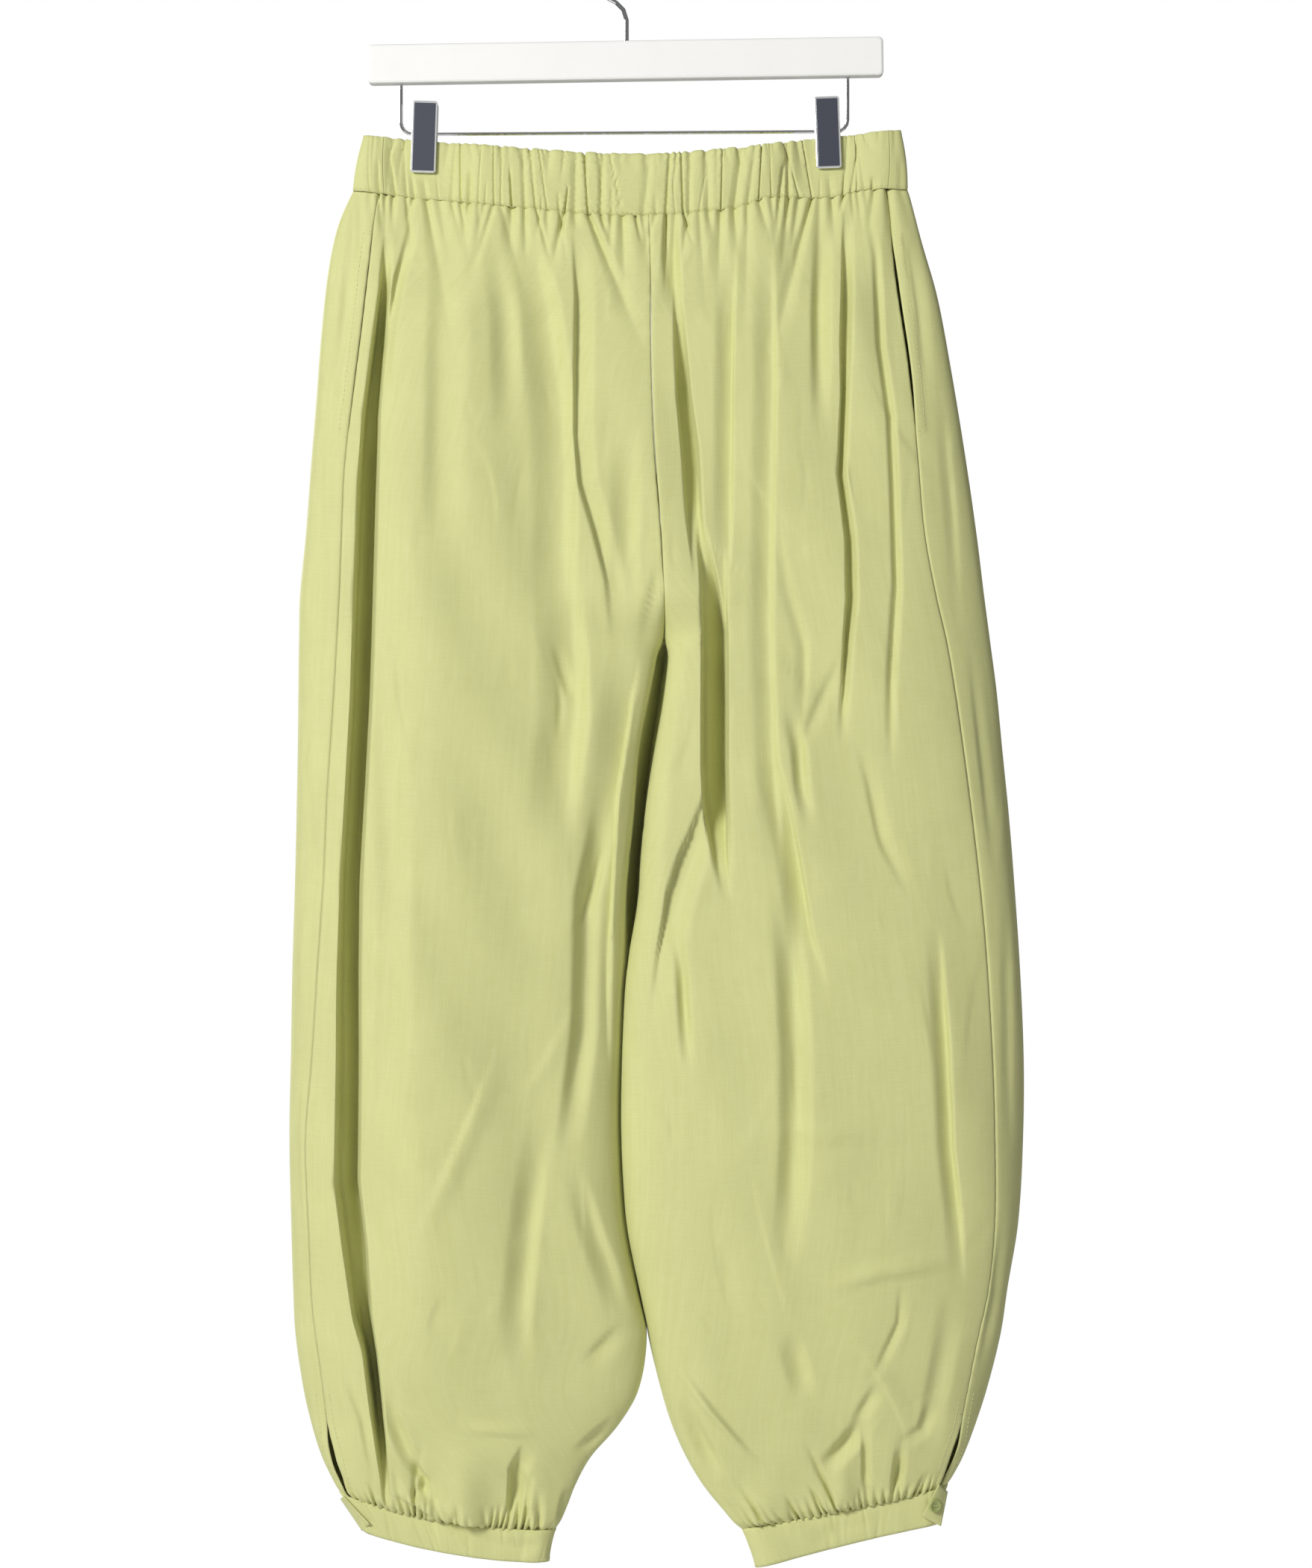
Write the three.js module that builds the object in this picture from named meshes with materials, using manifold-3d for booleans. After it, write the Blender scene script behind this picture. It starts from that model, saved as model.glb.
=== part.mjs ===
// Balloon trousers with a gathered waistband, hung flat from a bar hanger by two clips.
// Millimetres, +Z up, +X to the right as seen from the front, the front faces -Y.
// The origin is the top inside of the hook, where a rail bears.
import * as THREE from 'three';
import { mergeVertices } from 'three/addons/utils/BufferGeometryUtils.js';
import Module from 'manifold-3d';

const wasm = await Module();
wasm.setup();

// Driving dimensions of the cloth.
const WALL = 1.8;
const SEAM_GAP = 0.3;
const LEG_GAP = 1.6;
const CROTCH_Z = -474.3;
const WAIST_SEAM_Z = { side: -168, centre: -186 };
const LEG_END_Z = { left: -1058, right: -1053, inner: -1083 };
const SECTION_POWER = 0.8;
const BAND = { wall: 3, depth: 9.5, power: 0.5, gathers: 52, wave: 1.2, seamLeft: -165, seamRight: 178 };
const PINCH = { centres: [-138, 137.5], flat: 12, reach: 40, top: 0.68, seam: 0.4, foot: 0.62 };
const CUFF = { wall: 1.6, depth: 9, gathers: 24, wave: 2.2 };
const POCKET = { width: 7, thick: 0.9, lift: 0.3, firstRow: 1, lastRow: 6, open: 1.4 };
const SLIT = { top: -1003, open: 2.6 };
const LEAN = 7;

// Driving dimensions of the hanger and the buttons.
const BAR = { length: 351.5, height: 26.5, thick: 12, centreX: -0.7, centreZ: -80.2, tilt: 0.016, round: 1.6 };
const HOOK = { wire: 3, inner: 20, shankFoot: -86, bendFoot: -52 };
const BOW = { wire: 2.3, left: -154, right: 151, foot: [-130, -128.3], corner: 8, head: -84 };
const CLIP = { width: 17.2, height: 49, jaw: 2.6, inner: 3.8, barrel: 7.6 };
const CLIPS = [
  { name: 'clip_left', x: -138, z: -132.7, turn: 0.033 },
  { name: 'clip_right', x: 137.1, z: -129.7, turn: -0.038 },
];
const WIRE_SIDES = 10;
const BUTTON = { radius: 4.8, thick: 2.4, rim: 0.5, hole: 0.75, spread: 1.5 };
const SOCKET_CLEARANCE = 0.3;

const clamp = (value, low, high) => Math.min(high, Math.max(low, value));
const lerp = (a, b, t) => a + (b - a) * t;
const smooth = (a, b, value) => {
  const t = clamp((value - a) / (b - a), 0, 1);
  return t * t * (3 - 2 * t);
};

// Reads one column of a table by its first column, with a soft curve through the rows.
function read(table, column, at) {
  const rows = table.rows;
  const col = table.columns.indexOf(column);
  const last = rows.length - 1;
  if (at >= rows[0][0]) return rows[0][col];
  if (at <= rows[last][0]) return rows[last][col];
  let i = 0;
  while (rows[i + 1][0] > at) i += 1;
  const p0 = rows[Math.max(i - 1, 0)];
  const p1 = rows[i];
  const p2 = rows[i + 1];
  const p3 = rows[Math.min(i + 2, last)];
  const t = (at - p1[0]) / (p2[0] - p1[0]);
  const slope1 = (p2[col] - p0[col]) / (p2[0] - p0[0]);
  const slope2 = (p3[col] - p1[col]) / (p3[0] - p1[0]);
  const span = p2[0] - p1[0];
  const t2 = t * t;
  const t3 = t2 * t;
  return (2 * t3 - 3 * t2 + 1) * p1[col] + (t3 - 2 * t2 + t) * span * slope1
    + (3 * t2 - 2 * t3) * p2[col] + (t3 - t2) * span * slope2;
}

// Sections of each leg: outer edge, inner edge or centre seam, and side seam.
const LEFT_LEG = {
  side: -1,
  endZ: LEG_END_Z.left,
  columns: ['z', 'outer', 'inner', 'seam'],
  rows: [
    [-168, -186.7, 15.3, -168.8],
    [-194, -197.4, 15.6, -172.4],
    [-226, -204.0, 16.5, -175.8],
    [-269, -208.6, 16.8, -180.5],
    [-317, -212.2, 17.9, -186.5],
    [-360, -215.7, 20.0, -191.0],
    [-402, -218.8, 23.5, -192.7],
    [-445, -222.9, 25.8, -194.0],
    [-474, -223.6, 27.5, -195.7],
    [-510, -224.0, 23.0, -197.7],
    [-550, -224.4, 17.0, -200.2],
    [-594, -225.2, 12.0, -203.0],
    [-640, -226.2, 7.5, -205.3],
    [-700, -228.0, 4.5, -208.7],
    [-761, -229.0, 2.5, -213.0],
    [-814, -230.0, 2.0, -216.6],
    [-872, -228.8, 5.0, -215.2],
    [-917, -227.5, 9.5, -213.7],
    [-949, -225.9, 14.2, -210.5],
    [-986, -220.5, 8.7, -206.0],
    [-1010, -215.0, -4.6, -202.5],
    [-1032, -208.0, -23.5, -197.5],
    [-1051, -199.0, -34.2, -191.0],
    [-1069, -191.0, -41.3, -187.0],
    [-1083, -188.0, -47.9, -185.0],
  ],
};
const RIGHT_LEG = {
  side: 1,
  endZ: LEG_END_Z.right,
  columns: ['z', 'outer', 'inner', 'seam'],
  rows: [
    [-167, 191.8, 15.3, 178.0],
    [-186, 196.7, 15.3, 180.0],
    [-204, 201.4, 15.8, 181.0],
    [-242, 212.2, 16.6, 185.5],
    [-290, 221.3, 17.2, 192.2],
    [-349, 231.0, 19.5, 197.5],
    [-402, 238.7, 23.5, 202.0],
    [-445, 244.0, 25.8, 210.0],
    [-474, 247.8, 27.5, 217.0],
    [-510, 252.5, 23.0, 223.0],
    [-550, 256.4, 17.0, 228.5],
    [-594, 260.8, 12.0, 234.0],
    [-640, 264.5, 7.5, 239.2],
    [-700, 268.5, 4.5, 244.8],
    [-761, 271.0, 2.5, 248.3],
    [-814, 270.6, 2.0, 249.4],
    [-872, 267.3, 5.0, 249.0],
    [-917, 260.0, 9.5, 245.0],
    [-949, 255.2, 14.2, 238.0],
    [-986, 246.0, 22.9, 230.8],
    [-1010, 238.2, 30.2, 225.8],
    [-1032, 229.6, 39.9, 219.4],
    [-1051, 219.8, 51.5, 213.0],
    [-1069, 213.0, 66.4, 208.0],
    [-1083, 211.0, 78.0, 206.0],
  ],
};

// Half the thickness of the hanging garment, front and back.
const DEPTH = {
  columns: ['z', 'front', 'back'],
  rows: [
    [-168, 9.5, 9.5],
    [-200, 14, 15],
    [-250, 20, 23],
    [-320, 25, 31],
    [-400, 29, 35],
    [-474, 32, 36],
    [-550, 37, 38],
    [-620, 40, 40],
    [-700, 43, 43],
    [-800, 45, 46],
    [-870, 44, 45],
    [-930, 40, 42],
    [-980, 34, 36],
    [-1020, 27, 28],
    [-1050, 17, 17],
    [-1083, 11, 11],
  ],
};

// The seam under the waistband, which sags between the clips.
const WAIST_LINE = {
  columns: ['x', 'z'],
  rows: [
    [192, -167.0],
    [163, -167.5],
    [137, -172.5],
    [95, -173.5],
    [77, -180.0],
    [5, -186.0],
    [-58, -181.6],
    [-114, -176.0],
    [-187, -167.8],
  ],
};
const BAND_TOP = {
  columns: ['x', 'z'],
  rows: [
    [187, -128.5],
    [137, -133.2],
    [70, -141.5],
    [5, -145.4],
    [-70, -141.5],
    [-138, -135.6],
    [-179, -132.2],
  ],
};
const BAND_EDGES = { top: [-179, 186.7], seam: [-186.7, 191.8] };

// Largest folds: half width and depth, then the points [x, z] that the fold runs through.
const FRONT_FOLDS = {
  left: [
    { wide: 10, deep: 13, path: [[-164, -215], [-167, -260], [-174, -324], [-179, -420], [-182, -516],
      [-185, -612], [-188, -720], [-189, -843], [-184, -883], [-174, -956], [-164, -1035]] },
    { wide: 8, deep: 6, path: [[-143, -190], [-152, -218], [-160, -256], [-164, -330]] },
    { wide: 13, deep: 5, path: [[-123, -215], [-125, -293], [-127, -395]] },
    { wide: 12, deep: 4, path: [[-88, -200], [-82, -258], [-86, -300]] },
    { wide: 14, deep: 7, path: [[-70, -192], [-67, -215], [-58, -250], [-48, -312], [-44, -347], [-51, -430]] },
    { wide: 9, deep: 9, path: [[-36, -200], [-33, -243], [-34, -337], [-21, -403], [-9, -475]] },
    { wide: 16, deep: 7, path: [[-32, -490], [-33, -535], [-43, -575]] },
    { wide: 13, deep: 12, path: [[-12, -584], [-20, -615], [-28, -650], [-29, -740], [-36, -824]] },
    { wide: 13, deep: 6, path: [[-35, -829], [-20, -880], [-12, -901], [-4, -940]] },
    { wide: 14, deep: 6, path: [[-55, -793], [-65, -865], [-72, -931], [-68, -985]] },
    { wide: 15, deep: 4, path: [[-161, -497], [-157, -650], [-160, -803]] },
    { wide: 11, deep: 9, path: [[-72, -1018], [-77, -1043], [-82, -1075]] },
    { wide: 10, deep: 7, path: [[-143, -1025], [-133, -1058]] },
  ],
  right: [
    { wide: 10, deep: 6, path: [[134, -180], [132, -252], [132, -320]] },
    { wide: 8, deep: 9, path: [[150, -182], [148, -240], [146, -294], [144, -365], [149, -420], [140, -550]] },
    { wide: 8, deep: 5, path: [[164, -186], [172, -260], [179, -324], [183, -400], [178, -548]] },
    { wide: 12, deep: 13, path: [[31, -205], [34, -240], [40, -312], [47, -395], [58, -472], [60, -574],
      [64, -645]] },
    { wide: 15, deep: 5, path: [[97, -360], [97, -500]] },
    { wide: 11, deep: 6, path: [[100, -500], [116, -549], [125, -600]] },
    { wide: 14, deep: 10, path: [[106, -630], [111, -701], [114, -780], [112, -854], [106, -905]] },
    { wide: 12, deep: 8, path: [[42, -600], [34, -669], [40, -730], [43, -775]] },
    { wide: 13, deep: 6, path: [[209, -660], [216, -752], [219, -819], [226, -915]] },
    { wide: 12, deep: 8, path: [[38, -985], [52, -1018], [68, -1050]] },
    { wide: 14, deep: 5, path: [[108, -940], [124, -990]] },
    { wide: 11, deep: 7, path: [[163, -1000], [148, -1018], [133, -1042]] },
    { wide: 10, deep: 6, path: [[185, -1018], [182, -1056]] },
  ],
};
const BACK_FOLDS = {
  left: [
    { wide: 12, deep: 9, path: [[-158, -205], [-164, -300], [-170, -420], [-176, -560], [-172, -700]] },
    { wide: 12, deep: 6, path: [[-112, -195], [-104, -260], [-97, -345]] },
    { wide: 11, deep: 8, path: [[-62, -195], [-52, -270], [-47, -360], [-30, -440]] },
    { wide: 14, deep: 7, path: [[-92, -520], [-84, -600], [-88, -705]] },
    { wide: 15, deep: 9, path: [[-40, -560], [-46, -680], [-42, -800], [-28, -890]] },
    { wide: 14, deep: 6, path: [[-140, -760], [-132, -850], [-122, -950]] },
    { wide: 11, deep: 7, path: [[-150, -1000], [-138, -1058]] },
    { wide: 11, deep: 8, path: [[-66, -1000], [-84, -1066]] },
  ],
  right: [
    { wide: 12, deep: 8, path: [[168, -200], [176, -300], [188, -420], [196, -560], [200, -690]] },
    { wide: 12, deep: 6, path: [[118, -195], [121, -270], [112, -360]] },
    { wide: 11, deep: 8, path: [[70, -195], [72, -270], [66, -350], [54, -440]] },
    { wide: 15, deep: 9, path: [[66, -560], [60, -670], [52, -790], [62, -880]] },
    { wide: 14, deep: 6, path: [[130, -540], [142, -640], [146, -760]] },
    { wide: 14, deep: 7, path: [[190, -800], [184, -880], [172, -960]] },
    { wide: 11, deep: 7, path: [[110, -990], [120, -1058]] },
    { wide: 11, deep: 7, path: [[176, -990], [168, -1050]] },
  ],
};

// Rows of every leg panel, as shares of the way from the waist seam to the cuff seam.
const ROWS = [0, 0.033, 0.065, 0.1, 0.135, 0.165, 0.19, 0.23, 0.275, 0.32, 0.345, 0.385, 0.43, 0.48,
  0.535, 0.59, 0.645, 0.7, 0.755, 0.81, 0.86, 0.905, 0.94, 0.968, 0.986, 1];
const GATHER_ROWS = 2;
const COLUMNS = { front: 18, back: 17 };
const FINE = 96;

// How deep a set of folds presses in at a point of the face, softly rounded across and at both ends.
function foldDepth(folds, x, z) {
  let total = 0;
  for (const fold of folds) {
    let best = Infinity;
    let along = 0;
    let run = 0;
    for (let i = 0; i + 1 < fold.path.length; i += 1) {
      const [ax, az] = fold.path[i];
      const [bx, bz] = fold.path[i + 1];
      const length = Math.hypot(bx - ax, bz - az);
      const t = clamp(((x - ax) * (bx - ax) + (z - az) * (bz - az)) / (length * length), 0, 1);
      const away = Math.hypot(x - lerp(ax, bx, t), z - lerp(az, bz, t));
      if (away < best) {
        best = away;
        along = run + t * length;
      }
      run += length;
    }
    if (best >= fold.wide) continue;
    const across = (1 - (best / fold.wide) ** 2) ** 2;
    const taper = Math.min(40, run / 3);
    const ends = smooth(-2, taper, along) * smooth(-2, taper, run - along);
    total += fold.deep * across * ends;
  }
  return total;
}

// Presses the waist flat between the jaws of each clip.
function pinchAt(x) {
  let most = 0;
  for (const centre of PINCH.centres) {
    const away = Math.abs(x - centre);
    most = Math.max(most, 1 - smooth(PINCH.flat, PINCH.reach, away));
  }
  return most;
}

const powerCurve = (value, power) => Math.sign(value) * Math.abs(value) ** power;

// One point of a leg: turn 0 is the outer edge, half a turn the inner edge, positive turns lie in front.
function legBase(leg, share, turn) {
  const outerZ = lerp(WAIST_SEAM_Z.side, leg.endZ, share);
  const innerZ = lerp(WAIST_SEAM_Z.centre, LEG_END_Z.inner, share);
  const c = powerCurve(Math.cos(turn), SECTION_POWER);
  const s = Math.abs(Math.sin(turn)) ** SECTION_POWER;
  const front = turn > 0;
  const across = (c + 1) / 2;
  const level = lerp(innerZ, outerZ, across);
  const outer = read(leg, 'outer', outerZ);
  const split = smooth(CROTCH_Z + 110, CROTCH_Z, innerZ);
  const gap = lerp(SEAM_GAP, LEG_GAP, smooth(CROTCH_Z + 10, CROTCH_Z - 50, innerZ)) / 2;
  const inner = read(leg, 'inner', innerZ) + leg.side * gap;
  let x = lerp(inner, outer, across);
  const sagStart = lerp(WAIST_SEAM_Z.centre, WAIST_SEAM_Z.side, across);
  const sag = (read(WAIST_LINE, 'z', x) - SEAM_GAP / 2 - sagStart) * (1 - share) ** 3;
  const body = Math.cos(turn) > 0 ? s : lerp(1, s, split);
  const pinch = 1 - PINCH.seam * pinchAt(x) * (1 - smooth(0, 0.1, share));
  const depth = read(DEPTH, front ? 'front' : 'back', level) * pinch;
  const way = front ? -1 : 1;
  const leanShare = split * (1 - smooth(-860, -950, innerZ)) * (1 - across) ** 2;
  x += LEAN * leanShare * way * body;
  const inward = Math.cos(turn) > 0 ? c ** 3 : c ** 3 * split;
  return {
    x,
    y: way * depth * body,
    z: level + sag,
    mx: leg.side * inward,
    my: way * body,
    facing: body,
    slope: (outerZ - innerZ) / (outer - inner),
  };
}

// The side seam's turn at one row, found where the section crosses the seam's place on the front face.
function seamTurn(leg, share) {
  const outerZ = lerp(WAIST_SEAM_Z.side, leg.endZ, share);
  const seamX = read(leg, 'seam', outerZ) * leg.side;
  let low = 0;
  let high = Math.PI / 2;
  for (let i = 0; i < 40; i += 1) {
    const middle = (low + high) / 2;
    if (legBase(leg, share, middle).x * leg.side > seamX) low = middle;
    else high = middle;
  }
  return (low + high) / 2;
}

// The gap at the side seam: open a little at the pocket mouth and in the slit above the cuff.
function sideGap(z) {
  const pocket = POCKET.open * smooth(-197, -230, z) * (1 - smooth(-300, -337, z));
  const slit = SLIT.open * smooth(SLIT.top, SLIT.top - 25, z);
  return SEAM_GAP + pocket + slit;
}

// One row of a panel: points spread evenly along the cloth, closer together where folds run.
function panelRow(leg, face, share, count, fixed) {
  const key = leg.side < 0 ? 'left' : 'right';
  const start = seamTurn(leg, share);
  const end = face === 'front' ? Math.PI : -Math.PI;
  const fine = [];
  let run = 0;
  let weight = 0;
  for (let i = 0; i <= FINE; i += 1) {
    const turn = lerp(start, end, i / FINE);
    const at = legBase(leg, share, turn === 0 ? -1e-6 : turn);
    const folds = at.my < 0 ? FRONT_FOLDS[key] : BACK_FOLDS[key];
    const press = foldDepth(folds, at.x, at.z) * smooth(0.25, 0.8, at.facing);
    if (i > 0) {
      const before = fine[i - 1];
      const step = Math.hypot(at.x - before.x, at.y - before.y);
      run += step;
      weight += step * (1 + 0.35 * Math.max(press, before.press)
        + 1.1 * Math.abs(press - before.press) / Math.max(step, 0.5));
    }
    fine.push({ ...at, press, run, weight });
  }
  const trimStart = sideGap(fine[0].z) / 2;
  const trimEnd = SEAM_GAP / 2;
  const pick = (field, value) => {
    let i = 1;
    while (i < FINE && fine[i][field] < value) i += 1;
    const a = fine[i - 1];
    const b = fine[i];
    const t = clamp((value - a[field]) / Math.max(b[field] - a[field], 1e-9), 0, 1);
    const mixed = {};
    for (const name of ['x', 'y', 'z', 'mx', 'my', 'press', 'run', 'weight', 'facing', 'slope']) {
      mixed[name] = lerp(a[name], b[name], t);
    }
    return mixed;
  };
  const points = [];
  const first = pick('run', trimStart);
  const second = fixed ? pick('run', trimStart + POCKET.width) : null;
  const last = pick('run', run - trimEnd);
  points.push(first);
  if (second) points.push(second);
  const from = second ?? first;
  const steps = count - points.length;
  for (let i = 1; i < steps; i += 1) {
    points.push(pick('weight', lerp(from.weight, last.weight, i / steps)));
  }
  points.push(last);
  return points;
}

// The waves where the leg is gathered into its cuff: every other point stands out.
function addGathers(points, leg) {
  const last = points.length - 1;
  points.forEach((point, i) => {
    const uneven = 0.75 + 0.25 * Math.sin(i * 1.9 + leg.side);
    const ends = Math.min(1, i / 3, (last - i) / 3);
    point.press += i % 2 ? 0 : CUFF.wave * uneven * ends * smooth(0.1, 0.6, point.facing);
  });
}

// Moves a point inwards and keeps it on the slope of its row.
const offset = (point, depth) => new THREE.Vector3(
  point.x - point.mx * depth,
  point.y - point.my * depth,
  point.z - (point.slope ?? 0) * point.mx * depth,
);

// Joins two rows with different numbers of points by the shorter next diagonal.
function zip(triangles, upper, lower) {
  let i = 0;
  let j = 0;
  while (i < upper.length - 1 || j < lower.length - 1) {
    const nextUpper = (i + 1) / (upper.length - 1);
    const nextLower = (j + 1) / (lower.length - 1);
    if (j === lower.length - 1 || (i < upper.length - 1 && nextUpper <= nextLower)) {
      triangles.push([upper[i], lower[j], upper[i + 1]]);
      i += 1;
    } else {
      triangles.push([upper[i], lower[j], lower[j + 1]]);
      j += 1;
    }
  }
}

// A closed wall from rows of outer points and rows of inner points.
function wallGeometry(outerRows, innerRows, flip) {
  const positions = [];
  const index = (rows) => rows.map((row) => row.map((point) => {
    positions.push(point.x, point.y, point.z);
    return positions.length / 3 - 1;
  }));
  const outer = index(outerRows);
  const inner = index(innerRows);
  const triangles = [];
  for (let r = 0; r + 1 < outer.length; r += 1) zip(triangles, outer[r], outer[r + 1]);
  const inside = [];
  for (let r = 0; r + 1 < inner.length; r += 1) zip(inside, inner[r], inner[r + 1]);
  inside.forEach(([a, b, c]) => triangles.push([a, c, b]));
  const edge = (a, b) => zip(triangles, a, b);
  edge(inner[0], outer[0]);
  edge(outer.at(-1), inner.at(-1));
  const side = (rows, end) => rows.map((row) => row.at(end));
  edge(side(outer, 0), side(inner, 0));
  edge(side(inner, -1), side(outer, -1));
  const flat = triangles.flatMap(([a, b, c]) => (flip ? [a, c, b] : [a, b, c]));
  const geometry = new THREE.BufferGeometry();
  geometry.setAttribute('position', new THREE.Float32BufferAttribute(positions, 3));
  geometry.setIndex(flat);
  return geometry;
}

const group = new THREE.Group();
const cloth = new THREE.MeshStandardMaterial({ color: 0xd2d794, roughness: 0.85, metalness: 0 });
const paint = new THREE.MeshStandardMaterial({ color: 0xf4f3ef, roughness: 0.45, metalness: 0 });
const chrome = new THREE.MeshStandardMaterial({ color: 0xd8dade, roughness: 0.12, metalness: 1 });
const slate = new THREE.MeshStandardMaterial({ color: 0x3a404d, roughness: 0.5, metalness: 0.3 });
const horn = new THREE.MeshStandardMaterial({ color: 0xc9cf92, roughness: 0.35, metalness: 0 });

function addMesh(name, geometry, material) {
  const mesh = new THREE.Mesh(geometry, material);
  mesh.name = name;
  group.add(mesh);
  return mesh;
}

// Leg panels, and the topstitched pocket edges that lie on the back panels beside the side seams.
function addLeg(leg) {
  const name = leg.side < 0 ? 'left' : 'right';
  for (const face of ['front', 'back']) {
    const fixed = face === 'back';
    const rows = ROWS.map((share, r) => {
      const gathered = r >= ROWS.length - GATHER_ROWS;
      const plain = (r === 0 ? 2 : 1) * COLUMNS[face] + 1;
      const count = gathered ? CUFF.gathers * 2 + 1 : plain;
      const points = panelRow(leg, face, share, count, fixed && !gathered);
      if (gathered) addGathers(points, leg);
      return points;
    });
    const outer = rows.map((row) => row.map((point) => offset(point, point.press)));
    const inner = rows.map((row) => row.map((point) => offset(point, point.press + WALL)));
    const flip = (face === 'front') === (leg.side > 0);
    addMesh(`${face}_leg_${name}`, wallGeometry(outer, inner, flip), cloth);
    if (fixed) addPocketEdge(name, rows, flip);
  }
}

function addPocketEdge(name, rows, flip) {
  const used = rows.slice(POCKET.firstRow, POCKET.lastRow + 1).map((row) => row.slice(0, 2));
  const top = POCKET.lift + POCKET.thick;
  const outer = used.map((row) => row.map((point) => offset(point, point.press - top)));
  const inner = used.map((row) => row.map((point) => offset(point, point.press - POCKET.lift)));
  addMesh(`pocket_edge_${name}`, wallGeometry(outer, inner, flip), cloth);
}

// The waistband is one flattened ring, gathered all round, cut at the two side seams.
function bandPoint(turn, drop) {
  const left = lerp(BAND_EDGES.top[0], BAND_EDGES.seam[0], drop);
  const right = lerp(BAND_EDGES.top[1], BAND_EDGES.seam[1], drop);
  const c = powerCurve(Math.cos(turn), BAND.power);
  const s = Math.abs(Math.sin(turn)) ** BAND.power;
  const way = turn > 0 ? -1 : 1;
  const x = lerp(left, right, (c + 1) / 2);
  const squeeze = 1 - lerp(PINCH.top, PINCH.seam, smooth(PINCH.foot, 1, drop)) * pinchAt(x);
  const z = lerp(read(BAND_TOP, 'z', x), read(WAIST_LINE, 'z', x) + SEAM_GAP / 2, drop);
  return { x, y: way * BAND.depth * s * squeeze, z, mx: c ** 3, my: way * s };
}

function bandTurn(x, drop) {
  let low = 0;
  let high = Math.PI;
  for (let i = 0; i < 40; i += 1) {
    const middle = (low + high) / 2;
    if (bandPoint(middle, drop).x > x) low = middle;
    else high = middle;
  }
  return (low + high) / 2;
}

function bandRow(face, drop, count, waves) {
  const rightTurn = bandTurn(BAND.seamRight, drop);
  const leftTurn = bandTurn(BAND.seamLeft, drop);
  const start = rightTurn;
  const end = face === 'front' ? leftTurn : leftTurn - 2 * Math.PI;
  const fine = [];
  let run = 0;
  for (let i = 0; i <= 4 * FINE; i += 1) {
    let turn = lerp(start, end, i / (4 * FINE));
    if (turn < -Math.PI) turn += 2 * Math.PI;
    const at = bandPoint(turn, drop);
    if (i > 0) run += Math.hypot(at.x - fine[i - 1].x, at.y - fine[i - 1].y);
    fine.push({ ...at, run });
  }
  const points = [];
  for (let i = 0; i < count; i += 1) {
    const value = lerp(SEAM_GAP, run - SEAM_GAP, i / (count - 1));
    let k = 1;
    while (k < fine.length - 1 && fine[k].run < value) k += 1;
    const a = fine[k - 1];
    const b = fine[k];
    const t = clamp((value - a.run) / Math.max(b.run - a.run, 1e-9), 0, 1);
    const point = {};
    for (const name of ['x', 'y', 'z', 'mx', 'my']) point[name] = lerp(a[name], b[name], t);
    const uneven = 0.7 + 0.3 * Math.sin(i * 2.3);
    const held = 1 - 0.8 * pinchAt(point.x);
    const ends = Math.min(1, i / 4, (count - 1 - i) / 4);
    const wave = waves && i % 2 ? BAND.wave * uneven * held * ends : 0;
    const swell = waves ? 0.7 * Math.sin(Math.PI * drop) * held : 0;
    point.press = -(wave + swell) * Math.abs(point.my);
    points.push(point);
  }
  return points;
}

function addWaistband(face) {
  const drops = [0, PINCH.foot, 1];
  const outer = drops.map((drop) => bandRow(face, drop, BAND.gathers * 2 + 1, true)
    .map((point) => offset(point, point.press)));
  const inner = drops.map((drop) => bandRow(face, drop, BAND.gathers + 1, false)
    .map((point) => offset(point, BAND.wall)));
  addMesh(`waistband_${face}`, wallGeometry(outer, inner, face === 'front'), cloth);
}

// Cuffs: each is one band round the ankle, its tab lapped over the front at the outer edge.
const cuffTop = (leg) => ({
  inner: [read(leg, 'inner', LEG_END_Z.inner) + leg.side * LEG_GAP / 2, LEG_END_Z.inner - SEAM_GAP],
  outer: [read(leg, 'outer', leg.endZ), leg.endZ - SEAM_GAP],
});
const CUFF_LEFT = {
  side: -1,
  top: cuffTop(LEFT_LEG),
  foot: { inner: [-53, -1106.5], outer: [-186, -1083.5] },
};
const CUFF_RIGHT = {
  side: 1,
  top: cuffTop(RIGHT_LEG),
  foot: { inner: [88, -1108.5], outer: [214.5, -1078] },
};

function cuffPoint(cuff, across, drop, y) {
  const top = [0, 1].map((k) => lerp(cuff.top.inner[k], cuff.top.outer[k], across));
  const foot = [0, 1].map((k) => lerp(cuff.foot.inner[k], cuff.foot.outer[k], across));
  return new THREE.Vector3(lerp(top[0], foot[0], drop), y, lerp(top[1], foot[1], drop));
}

// The band's path from above: share of the way across, and distance in front or behind.
function cuffPath() {
  const under = 0.93;
  const lapDepth = CUFF.depth + CUFF.wall + 0.8;
  const path = [];
  for (let i = 0; i <= 10; i += 1) {
    path.push([lerp(under, 0.1, i / 10), -CUFF.depth]);
  }
  for (let i = 1; i <= 7; i += 1) {
    const turn = Math.PI * (0.5 + i / 8);
    path.push([0.1 + 0.1 * Math.cos(turn), -CUFF.depth * Math.sin(turn)]);
  }
  for (let i = 0; i <= 10; i += 1) {
    path.push([lerp(0.1, 0.93, i / 10), CUFF.depth]);
  }
  for (let i = 1; i <= 7; i += 1) {
    const turn = Math.PI * (0.5 - i / 8);
    const y = CUFF.depth * Math.sin(turn);
    path.push([0.93 + 0.07 * Math.cos(turn), y * (turn < 0 ? lapDepth / CUFF.depth : 1)]);
  }
  path.push([0.93, -lapDepth]);
  path.push([0.885, -lapDepth]);
  return path;
}

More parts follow.
